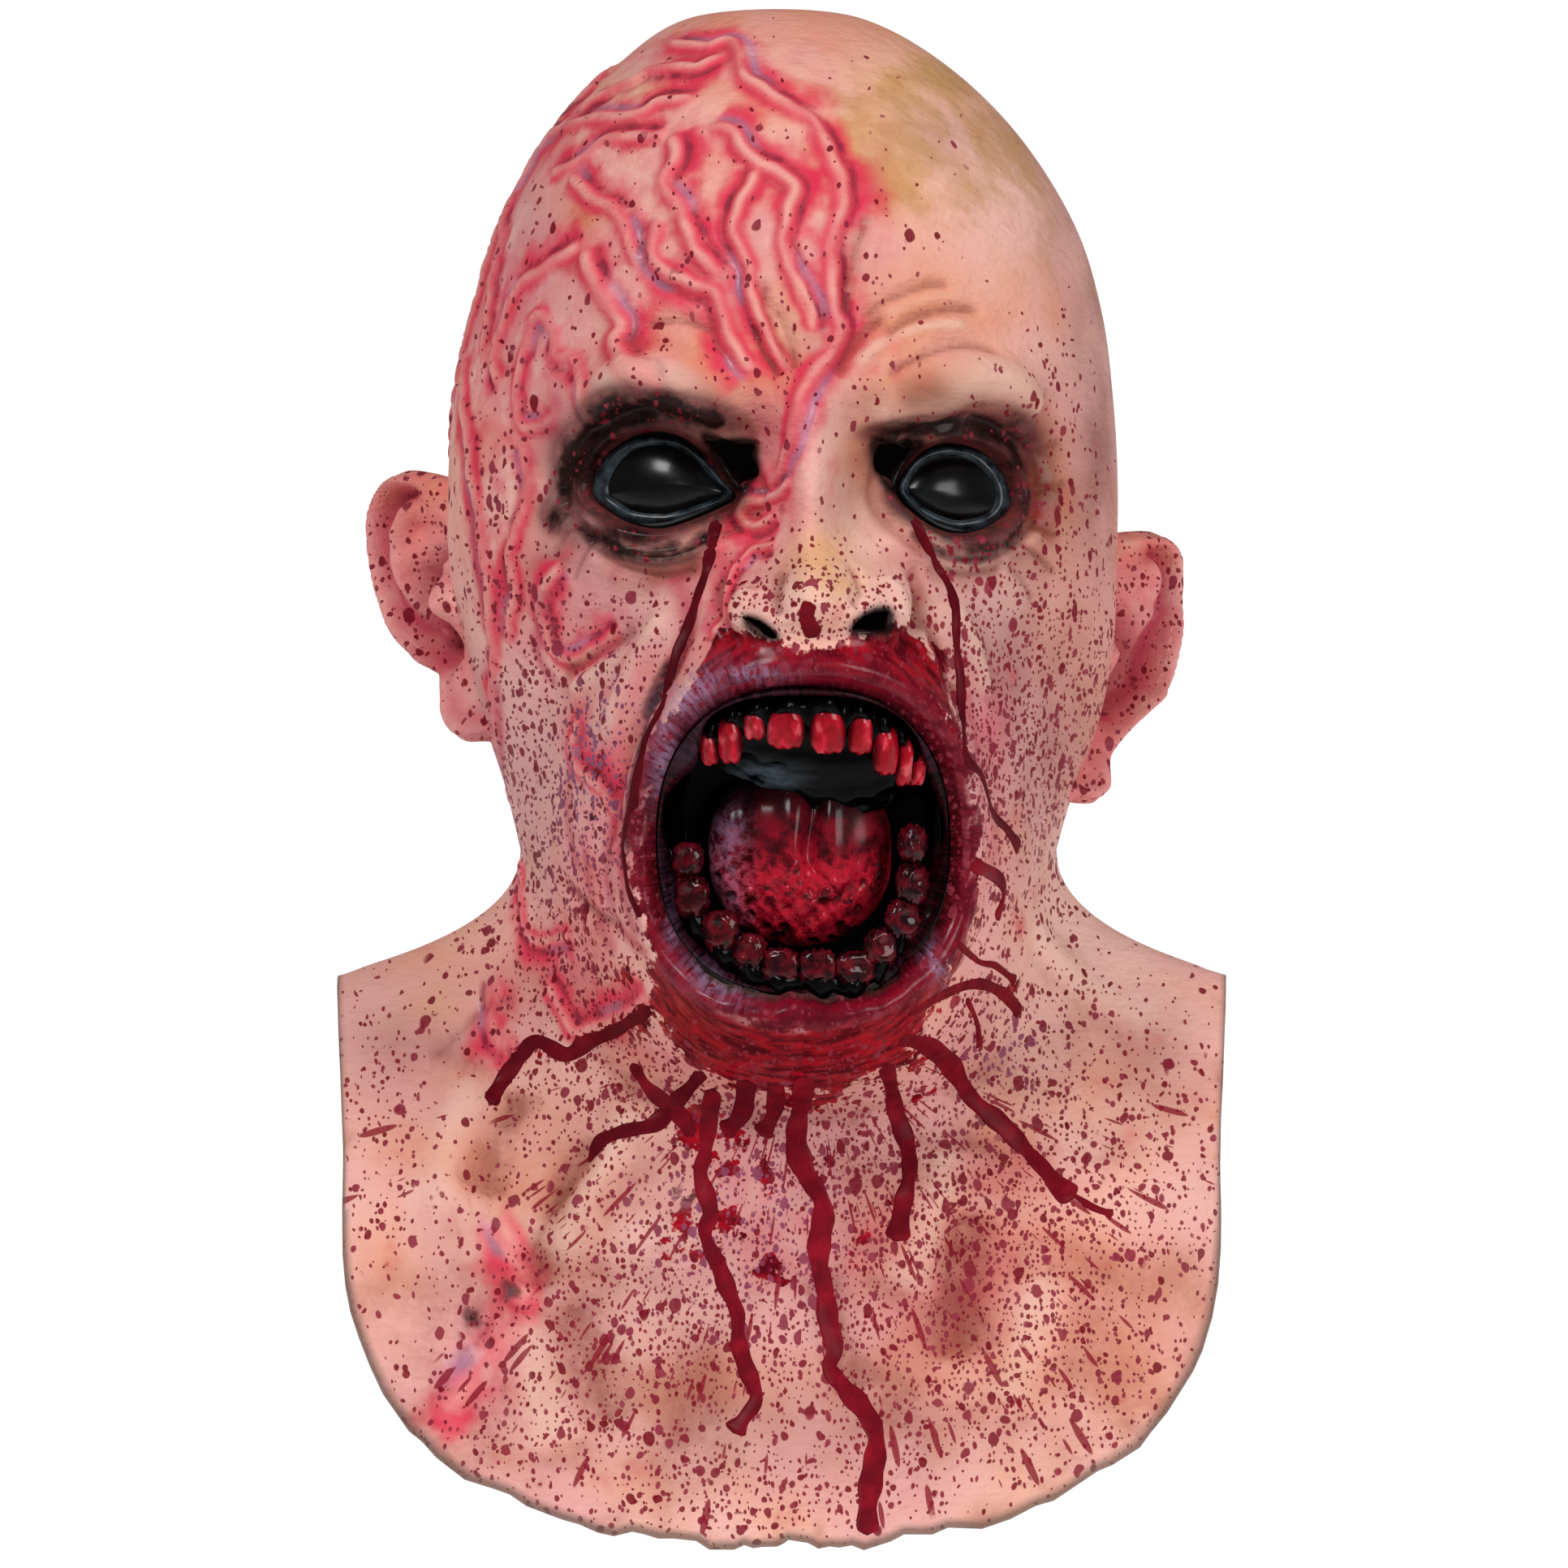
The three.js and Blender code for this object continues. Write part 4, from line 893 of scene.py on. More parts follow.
        (870, 1470, 50, 26, -20, 0.6), (950, 1400, 26, 40, 0, 0.5), (1120, 1240, 30, 50, 30, 0.6),
        (760, 1200, 30, 50, -30, 0.5), (905, 1500, 60, 50, 0, 0.5), (960, 1560, 60, 50, 0, 0.42),
        (1060, 1530, 50, 60, 0, 0.42), (1000, 1420, 90, 30, 0, 0.45),
    ],
    # "light": pale patches where the lamps fall most, on the nose, brows, cheeks, neck and shoulders:
    # painted highlight
    "light": [
        (1010, 640, 66, 100, 0, 1.0), (1010, 730, 90, 40, 0, 0.7), (1260, 440, 70, 60, 0, 0.5),
        (800, 440, 70, 26, 0, 0.5), (1330, 1160, 90, 70, 20, 0.7), (1170, 470, 90, 26, 0, 0.4),
        (650, 880, 80, 180, 0, 0.6), (700, 1200, 90, 60, 0, 0.4), (1380, 1420, 90, 160, 0, 0.5),
        (1240, 330, 60, 90, 0, 0.45), (1240, 720, 60, 60, 0, 0.4), (480, 1500, 60, 160, 0, 0.3),
    ],
    "plum": [
        (735, 930, 50, 120, 12, 1.0), (900, 1500, 120, 120, 0, 0.5), (1240, 1300, 60, 60, 0, 0.5),
    ],
}

# Strokes of each paint: half width, strength and points of the front view
STROKES = {
    "dark": [
        (5.4, 1.0, [
            (702, 632), (702, 585), (722, 540), (764, 514), (815, 507), (862, 514), (900, 534),
        ]),
        (2.6, 0.85, [(735, 655), (768, 678), (810, 686), (850, 677), (884, 652)]),
        # The dark line down the groove beside the mouth: dark paint and painted shade in the crease
        (2.2, 0.85, [(838, 800), (808, 860), (790, 920), (776, 1000), (772, 1060)]),
        (5.0, 0.95, [
            (1080, 545), (1115, 530), (1160, 524), (1210, 528), (1246, 550), (1262, 592),
        ]),
        (3.4, 0.7, [(1262, 592), (1262, 640), (1230, 672), (1180, 676)]),
        (3.0, 0.7, [(704, 640), (740, 668), (790, 684), (850, 672)]),
        (1.8, 0.6, [(1120, 650), (1150, 676), (1195, 690), (1238, 678)]),
        (1.0, 0.7, [(636, 1583), (610, 1605), (585, 1622), (558, 1641)]),
        (3.4, 0.9, [(1112, 604), (1104, 570), (1118, 548), (1150, 536)]),
    ],
    # Brown strokes under the brows and along the grooves beside the nose, under the eyes and at the outer
    # eye corners: brown paint and painted shade in the creases
    "brown": [
        (9.0, 1.0, [
            (1088, 522), (1140, 503), (1200, 498), (1252, 522), (1277, 570), (1280, 620),
            (1265, 668),
        ]),
        (6.0, 0.85, [(700, 520), (750, 486), (815, 478), (875, 500), (905, 530)]),
        (4.5, 0.8, [(1130, 700), (1180, 712), (1240, 700)]),
        (5.0, 0.8, [(745, 700), (800, 716), (858, 704)]),
        (3.0, 0.6, [(895, 690), (886, 730), (890, 775)]),
        (3.0, 0.7, [(1120, 690), (1134, 730), (1130, 780)]),
        (2.4, 0.6, [(962, 700), (955, 735), (958, 765)]),
        (1.6, 0.6, [(1262, 560), (1290, 552), (1308, 540)]),
        (1.6, 0.6, [(1262, 600), (1295, 600), (1318, 590)]),
        (1.6, 0.6, [(1258, 640), (1290, 655), (1312, 660)]),
        (1.6, 0.6, [(1252, 665), (1285, 690), (1300, 710)]),
    ],
    "pink": [
        (3.0, 1.0, [(975, 480), (968, 520), (962, 560), (950, 600)]),
        (4.0, 0.9, [(930, 640), (905, 680), (880, 730), (868, 790)]),
        (3.4, 0.9, [(870, 720), (850, 780), (820, 840)]),
    ],
    "flush": [
        (3.0, 0.9, [(842, 830), (812, 880), (792, 950), (782, 1030), (786, 1110)]),
        (5.5, 0.7, [(800, 930), (772, 1010), (768, 1090), (790, 1170)]),
        (2.6, 0.8, [(742, 930), (756, 1010), (748, 1080), (770, 1150), (810, 1180)]),
        (3.0, 0.8, [(580, 600), (586, 690), (600, 760)]),
        (2.4, 0.8, [(612, 830), (618, 930), (628, 1010)]),
        (2.2, 0.8, [(672, 720), (662, 800), (690, 850)]),
        (2.6, 0.8, [(1188, 840), (1206, 940), (1212, 1040)]),
        (3.6, 0.5, [(690, 480), (660, 560), (640, 620)]),
        (4.0, 0.8, [(826, 700), (850, 760), (842, 820)]),
        (3.0, 0.7, [(720, 1040), (730, 1110), (760, 1180)]),
        (3.0, 0.7, [(705, 930), (700, 1010), (716, 1080)]),
    ],
    # Pale pink streaks along the lips: painted highlight
    "painted_sheen": [
        (1.3, 1.0, [(1148, 806), (1180, 850), (1201, 930), (1212, 1020), (1211, 1100)]),
        (0.9, 0.8, [(1166, 850), (1188, 920), (1198, 1010), (1196, 1090)]),
        (1.0, 0.8, [(1200, 1120), (1186, 1180), (1160, 1225)]),
        (0.8, 0.7, [(800, 960), (788, 1020), (790, 1080)]),
        (0.9, 0.7, [(880, 1236), (930, 1262), (1000, 1270)]),
    ],
}


def brushed(kind, seen, front):
    """How strongly one paint lies on each vertex."""
    total = np.zeros(len(seen))
    for x, y, wide, tall, degrees, strength in AIRBRUSH.get(kind, ()):
        turn = np.radians(degrees)
        dx, dy = seen[:, 0] - x, seen[:, 1] - y
        across = (dx * np.cos(turn) + dy * np.sin(turn)) / wide
        down = (dy * np.cos(turn) - dx * np.sin(turn)) / tall
        total = np.maximum(total, strength * np.exp(-across ** 2 - down ** 2))
    return total * front


# Blood over the lips, the chin and the foot of the nose
BLOODY = [
    (860, 835), (830, 868), (803, 898), (784, 940), (773, 1002), (777, 1061), (790, 1113),
    (800, 1168), (800, 1224), (826, 1275), (858, 1312), (915, 1338), (977, 1345), (1036, 1343),
    (1086, 1320), (1114, 1292), (1148, 1242), (1180, 1187), (1200, 1131), (1206, 1076),
    (1206, 1020), (1196, 935), (1176, 880), (1160, 830), (1140, 790), (1100, 765), (1050, 785),
    (990, 800), (940, 785), (890, 775), (870, 800),
]
# Painted purple sheen on the lips, a painted reflection
PAINTED_LUSTRE = [
    (850, 855, 46, 22, -38), (818, 925, 14, 52, 8), (882, 1208, 40, 20, 28), (836, 1120, 10, 46, 12),
    (925, 830, 44, 10, 0), (1148, 1178, 12, 36, -28),
]

skin_seen = seen_at(skin_places)
front_share = 1 - ease(skin_places[:, 1], -15, 25)
paints = {kind: brushed(kind, skin_seen, front_share) for kind in (*AIRBRUSH, *STROKES)}
for kind, strokes in STROKES.items():
    for half, strength, points in strokes:
        path = rounded(cast(rounded(points, cuts=3), skin_tree), cuts=2)
        gap, _, share = reach_to(skin_places, path)
        stroke = strength * np.exp(-(gap / half) ** 2) * ease(share, 0, 0.1)
        stroke = stroke * ease(1 - share, 0, 0.1) * front_share
        paints[kind] = np.maximum(paints[kind], stroke)
bloody_gap = to_edge(skin_seen, rounded(BLOODY, closed=True, cuts=3)) * SIGHT_SCALE
paints["blood"] = (1 - ease(bloody_gap, -4.5, 4.5)) * (skin_places[:, 1] < -60)
painted_lustre = np.zeros(amount)
for x, y, wide, tall, degrees in PAINTED_LUSTRE:
    turn = np.radians(degrees)
    dx, dy = skin_seen[:, 0] - x, skin_seen[:, 1] - y
    across, down = dx * np.cos(turn) + dy * np.sin(turn), dy * np.cos(turn) - dx * np.sin(turn)
    painted_lustre = np.maximum(painted_lustre, np.exp(-(across / wide) ** 2 - (down / tall) ** 2))
paints["painted_lustre"] = painted_lustre * (skin_places[:, 1] < -60)
paints["lid"] = np.exp(-((eye_gap - 1.5) / 4.6) ** 2) * in_front
# Round the peepholes the paint turns near black: painted shade of the dark inside
hole_gap = np.full(amount, 300.0)
for outline in openings[2:]:
    near = in_front & (np.abs(skin_seen - outline.mean(0)).max(1) < 90)
    hole_gap[near] = np.minimum(hole_gap[near], to_edge(skin_seen[near], outline) * SIGHT_SCALE)
paints["hole"] = np.exp(-(hole_gap / 1.5) ** 2)
paints["hem"] = np.exp(-(hem_gap / 1.1) ** 2)
paints["crease"], paints["ridge"] = crease_wash_and_shade, ridge_highlight
# Darker brown in the hollows and paler on raised places: a wash and dry-brushing that also stand for painted
# shade and painted highlight
paints["hollow"] = 0.6 * ease(depths[0], 0.03, 0.5) + 0.6 * ease(depths[1], 0.3, 2.6)
paints["proud"] = ease(-depths[0], 0.12, 0.8)
paints["lip"] = 1 - ease(lip_gap, 5, 13)
paints["lip_edge"] = 1 - ease(lip_gap, 0.5, 4.5)
paints["vein_halo"], paints["vein_crest"] = vein_halo, vein_crest
paints["vein_groove"], paints["vein_gloss_highlight"] = vein_groove, vein_gloss_highlight

latex = Finish("airbrushed_latex", specular=0.04, coat_rough=0.16)
spot = latex.place()
broad, middling = latex.noise(spot, 75, detail=1), latex.noise(spot, 26, detail=2)
mottle = latex.noise(spot, 8, detail=2, rough=0.6)
fine = latex.noise(spot, 2.2, detail=2, rough=0.6)
colour = latex.mix(latex.ease(broad, 0.38, 0.62), paint("f4bbae"), paint("e8a8a2"))
colour = latex.mix(latex.ease(middling, 0.42, 0.72) * 0.55, colour, paint("eba888"))
colour = latex.mix(latex.ease(mottle, 0.5, 0.8) * 0.25, colour, paint("c98885"))
# Pale patches of the "light" paint where the lamps fall most: painted highlight
colour = latex.mix(latex.painted("light") * 0.75, colour, paint("fbcfc2"))
streaky = latex.ease(middling, 0.2, 0.7) * 0.8 + 0.45
# Airbrushed colours over the base. "shade" is painted shade, and "brown" and "umber" are paint that also
# stands for shade in the grooves, hollows and under the brows
for kind, code, share in (
    ("mauve", "b4828c", 0.75), ("tan", "e48f62", 0.8), ("yellow", "e8ae5c", 0.8),
    ("olive", "b98a4a", 0.62), ("shade", "94625e", 0.75), ("brown", "7c3a2a", 0.88),
    ("umber", "b06450", 0.55),
):
    strength = latex.painted(kind) * streaky * share
    if kind == "olive":
        patchy = latex.painted(kind) + (middling - 0.5) * 1.3 + (mottle - 0.5) * 0.8
        strength = latex.ease(patchy, 0.25, 0.95) * share
    colour = latex.mix(strength, colour, paint(code))
pink_flood = latex.painted("pink") * latex.ease(mottle + middling, 0.6, 1.1)
colour = latex.mix(pink_flood * 0.85, colour, paint("e03c5e"))
halo = latex.painted("vein_halo")
halo_edge = latex.ease(halo + (mottle - 0.5) * 0.7 + (middling - 0.5) * 1.7, 0.2, 0.9)
colour = latex.mix(halo_edge * 0.92, colour, paint("df2c50"))
# Vein crests: paler paint and painted highlight. Groove beside each vein: dark paint and painted shade. Pale
# purple on the flanks: painted highlight
crest = latex.painted("vein_crest")
crest = crest * latex.ease(middling + mottle * 0.4, 0.45, 0.85)
colour = latex.mix(crest * 0.85, colour, paint("f2a99c"))
groove = latex.ease(latex.painted("vein_groove"), 0.1, 0.8) * latex.ease(mottle, 0.3, 0.6)
colour = latex.mix(groove * 0.85, colour, paint("84223e"))
colour = latex.mix(latex.painted("vein_gloss_highlight") * 0.5, colour, paint("cfa3c4"))
# Paler on raised folds: painted highlight. Brown in the grooves: a wash that is also painted shade
colour = latex.mix(latex.painted("ridge") * 0.4, colour, paint("f0c4ae"))
crease = latex.ease(latex.painted("crease"), 0.2, 1.0) * latex.ease(mottle, 0.2, 0.6)
colour = latex.mix(crease * 0.55, colour, paint("7a4032"))
colour = latex.mix(latex.painted("flush") * 0.85, colour, paint("b4304c"))
# Brown in the hollows: a wash and painted shade. Pale on raised places: painted highlight
hollow = latex.painted("hollow") * latex.ease(middling + fine * 0.4, 0.4, 0.9)
colour = latex.mix(hollow * 0.62, colour, paint("8a463c"))
colour = latex.mix(latex.painted("proud") * 0.14, colour, paint("f7d9cc"))
lid_share = latex.painted("lid")
lid_colour = latex.mix(latex.ease(mottle + fine, 0.8, 1.25), paint("2a0e10"), paint("6a241e"))
colour = latex.mix(latex.ease(lid_share, 0.1, 0.7) * 0.94, colour, lid_colour)
dark_rim = latex.ease(latex.painted("dark") + (middling - 0.5) * 0.3, 0.02, 0.4)
colour = latex.mix(dark_rim * 0.75, colour, paint("5c2b2e"))
dark_share = latex.painted("dark") + (mottle - 0.5) * 0.9 + (fine - 0.5) * 0.5
dark_share = latex.ease(dark_share, 0.3, 0.85)
dark_colour = latex.mix(latex.ease(fine, 0.4, 0.7), paint("0c0404"), paint("2c1214"))
colour = latex.mix(dark_share * 0.95, colour, dark_colour)

# Blood on the lips and chin, drawn out round the mouth
x, y, z = latex.axes(spot)
from_mouth_x, from_mouth_z = x - MOUTH_X * MM, z - MOUTH_Z * MM
mouth_turn = from_mouth_x.maths("ARCTAN2", from_mouth_x, from_mouth_z)
mouth_reach = (from_mouth_x * from_mouth_x + from_mouth_z * from_mouth_z) ** 0.5
wrinkle_place = latex.vector(mouth_turn * 0.045, mouth_reach * 0.22, 0.0)
wrinkles = latex.noise(wrinkle_place, 1.5, detail=2, rough=0.6)
streak_place = latex.vector(mouth_turn * 0.02, mouth_reach * 0.7, y)
streaks = latex.noise(streak_place, 3.4, detail=2, rough=0.6)
splash = latex.ease(latex.painted("splash") + (mottle - 0.5) * 1.7 + (fine - 0.5) * 0.7, 0.52, 0.6)
blood = latex.painted("blood") + (mottle - 0.5) * 1.6 + (fine - 0.5) * 0.6
blood = latex.ease(blood, 0.42, 0.56).most(splash)
blood_colour = latex.mix(latex.ease(streaks, 0.34, 0.66), paint("540410"), paint("a8081e"))
blood_colour = latex.mix(latex.painted("lip") * 0.6, blood_colour, paint("6a1024"))
lip_shade = latex.ease(latex.painted("lip_edge"), 0.1, 0.9)
blood_colour = latex.mix(lip_shade * 0.65, blood_colour, paint("1c060c"))
blood_colour = latex.mix(latex.painted("lip") * latex.ease(wrinkles, 0.5, 0.7) * 0.6, blood_colour,
                         paint("7c1428"))
colour = latex.mix(blood, colour, blood_colour)
# Purple sheen over the lips' wrinkles: painted reflection
purple_painted_sheen = latex.painted("painted_lustre") * latex.ease(wrinkles + fine * 0.3, 0.42, 0.82)
colour = latex.mix(purple_painted_sheen * 0.8, colour, paint("a884a6"))
# Pale pink streaks over the blood: painted highlight
pale_highlight_streaks = latex.painted("painted_sheen") * latex.ease(streaks + fine * 0.5, 0.72, 0.86)
colour = latex.mix(pale_highlight_streaks * 0.8, colour, paint("eab0ae"))


def drops(finish, place, cell, small, large, share, spray, salt, kind="3D"):
    """Round spots of thrown paint: cell size, spot sizes as shares of it, and how many."""
    place = finish.wire(finish.node(
        "ShaderNodeVectorMath", {"operation": "ADD"}, {0: place, 1: (salt, -salt, 2 * salt)}))
    cells = finish.node("ShaderNodeTexVoronoi", {"feature": "F1", "voronoi_dimensions": kind}, {
        "Vector": place, "Scale": 1 / (cell * MM), "Randomness": 1.0})
    luck = finish.axes(finish.wire(cells, "Color"))
    size = luck[0] * luck[0] * (large - small) + small
    thrown = finish.ease(spray * share - luck[1], 0.0, 0.02)
    return finish.ease(size - finish.wire(cells, "Distance"), 0.0, 0.06) * thrown, luck[2]


spray = latex.painted("spray")
warp = latex.node("ShaderNodeTexNoise", {}, {"Vector": spot, "Scale": 260.0, "Detail": 0.0})
warped = latex.node("ShaderNodeVectorMath", {"operation": "MULTIPLY_ADD"},
                    {0: latex.wire(warp, "Color"), 1: (0.0016, 0.0016, 0.0016), 2: spot})
thrown_place = latex.stretch(latex.wire(warped), (1.0, 0.8, 0.75))
thrown_x, thrown_y, thrown_z = latex.axes(thrown_place)
mist_place = latex.vector(thrown_x, thrown_z, 0.0)
for cell, small, large, share, salt in (
    (1.7, 0.17, 0.44, 0.95, 0.23), (2.6, 0.17, 0.46, 1.2, 0.11), (4.0, 0.17, 0.46, 1.0, 0.37),
    (6.6, 0.12, 0.36, 0.75, 0.71),
):
    if cell < 2:
        spots, age = drops(latex, mist_place, cell, small, large, share, spray, salt, "2D")
    else:
        spots, age = drops(latex, thrown_place, cell, small, large, share, spray, salt)
    old = latex.mix(age, paint("760a1c"), paint("943444"))
    old = latex.mix(latex.painted("plum") * latex.ease(age, 0.3, 0.6), old, paint("86597c"))
    colour = latex.mix(spots * 0.95, colour, old)

# Flicks that fly out from the chin over the chest
from_chin_x, from_chin_z = x - 0.007, z + 0.292
chin_turn = from_chin_x.maths("ARCTAN2", from_chin_x, 0.0 - from_chin_z)
chin_reach = (from_chin_x * from_chin_x + from_chin_z * from_chin_z) ** 0.5
flick_place = latex.vector(chin_turn * 0.12, chin_reach * 0.16, 0.0)
flicks, _ = drops(latex, flick_place, 2.8, 0.10, 0.42, 0.45, latex.ease(
    0.0 - z, 0.3, 0.33) * spray, 0.53, "2D")
colour = latex.mix(flicks * 0.9, colour, paint("8a1a2c"))
# Near black round the peepholes: painted shade
colour = latex.mix(latex.painted("hole") * 0.97, colour, paint("0d0707"))
colour = latex.mix(latex.painted("hem") * 0.8, colour, paint("6f5a50"))

wet = (blood * latex.ease(streaks, 0.3, 0.6)).most(dark_share * 0.35)
wet = wet.most(latex.painted("vein_gloss_highlight"))
rough = latex.between(wet, 0.5, 0.27)
pores = latex.noise(spot, 0.9, detail=0)
creases = latex.noise(latex.stretch(spot, (1.0, 1.0, 2.2)), 5, detail=1, rough=0.6)
normal = latex.bump(pores, 0.26, 0.6)
normal = latex.bump(creases, 1.2, 0.6, normal)
normal = latex.bump(wrinkles * latex.painted("lip"), 1.6, 0.9, normal)
latex.feed(latex.shader, {
    "Base Color": colour, "Roughness": rough, "Coat Weight": wet * 0.26 + 0.035, "Normal": normal})

# The inner wall is dark brown-grey, which also stands for the shade inside the mask
raw_latex = Finish("raw_latex", rough=0.6)
raw_spot = raw_latex.place()
raw_cloud = raw_latex.noise(raw_spot, 30, detail=4)
raw_colour = raw_latex.mix(raw_cloud, paint("3a2d25"), paint("241b17"))
raw_bump = raw_latex.bump(raw_latex.noise(raw_spot, 2.5, detail=4), 0.5)
raw_latex.feed(raw_latex.shader, {"Base Color": raw_colour, "Normal": raw_bump})


def keep_paints(made, finish, paints):
    """Stores the strength of each of the finish's paints with the mesh's vertices."""
    strengths = np.zeros((len(made.data.vertices), -(-len(finish.paints) // 3), 3), np.float32)
    for n, kind in enumerate(finish.paints):
        strengths[:, n // 3, n % 3] = np.clip(paints.get(kind, 0), 0, 1)
    for n in range(strengths.shape[1]):
        layer = made.data.attributes.new(f"paints_{n}", "FLOAT_VECTOR", "POINT")
        layer.data.foreach_set("vector", strengths[:, n].ravel())


skin = piece("mask_skin", skin_form, [latex, raw_latex])
keep_paints(skin, latex, paints)
inner_wall = skin.vertex_groups.new(name="inner_wall")
thick = skin.modifiers.new("wall", "SOLIDIFY")
thick.thickness = WALL * MM
thick.offset = -1
thick.material_offset = 1
thick.material_offset_rim = 0
thick.shell_vertex_group = inner_wall.name
thin_out = skin.modifiers.new("inner_wall_coarser", "DECIMATE")
thin_out.ratio = 0.58
thin_out.vertex_group = inner_wall.name
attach(skin, "root")
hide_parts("skin")


# ---------------------------------------------------------------- Ears
# Two ears, cast in one with the head: a rim rolled round a dished plate, a second ridge inside it
# and a deep bowl. They stand away from the head and run into it without a seam.
EAR_FLARE = np.radians(38)
EAR_THICK = 3.2
# Middle of each ear, its outline in the front view, then its modelling: kind of form, half width,
# height and points
EARS = {
    "left": (-1, (-103, 6, -173), [
        (566, 600), (549, 590), (537, 587), (520, 581), (498, 578), (482, 584), (470, 599),
        (462, 616), (457, 636), (457, 662), (461, 696), (467, 725), (475, 749), (487, 778),
        (504, 802), (521, 822), (536, 838), (544, 852), (546, 870), (549, 888), (556, 902),
        (567, 911), (581, 915), (600, 913), (606, 880), (590, 800), (577, 700),
    ], [
        (3.4, 3.4, [(506, 632), (491, 672), (492, 715), (499, 755), (510, 785), (527, 808)]),
        (3.2, 2.0, [(497, 655), (512, 625), (534, 606)]),
        (3.0, 1.8, [(500, 690), (516, 690), (532, 690)]),
        (3.0, -2.2, [(512, 650), (520, 655), (530, 650)]),
        (6.5, -8.5, [(533, 702), (520, 730), (522, 770), (540, 808)]),
        (3.6, 6.0, [(549, 700), (543, 722), (548, 748)]),
        (4.0, 2.2, [(528, 815), (545, 825), (560, 835)]),
        (7.0, 2.6, [(562, 870), (572, 890)]),
    ]),
    "right": (1, (101, 6, -192), [
        (1352, 690), (1374, 662), (1393, 656), (1412, 653), (1429, 655), (1441, 664), (1449, 679),
        (1452, 698), (1451, 722), (1448, 744), (1444, 768), (1438, 795), (1433, 819), (1427, 843),
        (1418, 865), (1404, 885), (1388, 906), (1373, 926), (1366, 943), (1365, 957), (1364, 974),
        (1356, 984), (1344, 990), (1326, 990), (1310, 975), (1322, 880), (1338, 780),
    ], [
        (3.2, 3.2, [(1412, 694), (1424, 716), (1431, 745), (1431, 785), (1425, 822), (1410, 850)]),
        (3.0, 1.8, [(1410, 700), (1398, 715), (1388, 735)]),
        (3.0, 1.5, [(1424, 760), (1405, 752), (1390, 752)]),
        (6.5, -8.5, [(1386, 775), (1396, 800), (1390, 832), (1374, 862)]),
        (3.6, 5.0, [(1372, 775), (1376, 800), (1370, 830)]),
        (4.0, 2.2, [(1405, 860), (1385, 880), (1365, 905)]),
        (7.0, 2.6, [(1348, 960), (1340, 972)]),
    ]),
}

for name, (side, middle, outline, modelling) in EARS.items():
    outwards = np.array([side * np.sin(EAR_FLARE), np.cos(EAR_FLARE), 0])
    facing = np.array([side * np.cos(EAR_FLARE), -np.sin(EAR_FLARE), 0])
    middle = np.array(middle, float)

    def on_plate(steps):
        """Points of the front view as places across and up on the ear's plate."""
        place = sighted(steps, middle[1]) - middle
        return np.stack([place[:, 0] / outwards[0], place[:, 2]], 1)

    edge = on_plate(rounded(outline, closed=True))
    low, high = edge.min(0) - 2, edge.max(0) + 2
    ear_form = sheet(58, 92)
    flat = low + places_of(ear_form)[:, :2] * (high - low)
    move(ear_form, np.c_[flat, np.zeros(len(flat))])
    cut_along(ear_form, lambda flat: -to_edge(flat[:, :2], edge))
    loose = [v for v in ear_form.verts if not v.link_faces]
    bmesh.ops.delete(ear_form, geom=loose, context="VERTS")
    ear_form.verts.index_update()
    flat = places_of(ear_form)[:, :2]
    free_edge = on_plate(rounded(outline[2:-3], cuts=4))
    to_rim = reach_to(np.c_[flat, np.zeros(len(flat))], np.c_[free_edge, np.zeros(len(free_edge))])
    from_rim, rim_share = to_rim[0], to_rim[2]
    rim = ease(rim_share, 0, 0.12) * (1 - 0.75 * ease(rim_share, 0.62, 0.8))
    height = 5.2 * np.exp(-((from_rim - 2.8) / 2.2) ** 2) * rim
    height -= 3.4 * np.exp(-((from_rim - 7.4) / 2.2) ** 2) * rim
    height -= 2.6 * np.exp(-(from_rim / 1.5) ** 2)
    hollow = np.exp(-((from_rim - 7.2) / 2.4) ** 2) * rim
    for half, high_by, points in modelling:
        path = on_plate(rounded(points, cuts=4))
        gap = reach_to(np.c_[flat, np.zeros(len(flat))], np.c_[path, np.zeros(len(path))])[0]
        form_share = np.exp(-(gap / half) ** 2)
        height += high_by * form_share
        if high_by < -5:
            hollow = np.maximum(hollow, form_share)
    places = middle + flat[:, :1] * outwards + height[:, None] * facing
    places[:, 2] = middle[2] + flat[:, 1]
    for n, place in enumerate(places):
        near, normal, _, gap = skin_tree.find_nearest(Vector(place))
        clear = (Vector(place) - near).dot(normal)
        free = ease(np.array(clear if clear < 0 else gap), -1.0, 6.5)
        places[n] = np.array(near - normal * 0.7) * (1 - free) + place * free
    move(ear_form, places)
    ear = piece("ear_" + name, ear_form, [latex], Vector(facing))
    ear_seen = seen_at(places)
    ear_paints = {kind: brushed(kind, ear_seen, 1.0) for kind in (
        "tan", "yellow", "olive", "brown", "shade", "pink", "mauve", "spray")}
    ear_paints["pink"] = np.maximum(0.5, 0.7 * hollow)
    ear_paints["flush"] = hollow
    # Darker in the ear's hollows and paler on its ridges: a wash and dry-brushing that are also painted
    # shade and painted highlight
    ear_paints["hollow"] = 0.8 * ease(-height, 1.0, 6.0)
    ear_paints["proud"] = 0.6 * ease(height, 1.5, 4.0)
    ear_paints["tan"] = np.maximum(ear_paints["tan"], 0.7 * ease(flat[:, 1], 24, 34))
    ear_paints["spray"] = np.full(len(places), 0.35)
    keep_paints(ear, latex, ear_paints)
    thick = ear.modifiers.new("wall", "SOLIDIFY")
    thick.thickness = EAR_THICK * MM
    thick.offset = -1
    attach(ear, "root")
    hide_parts("skin")


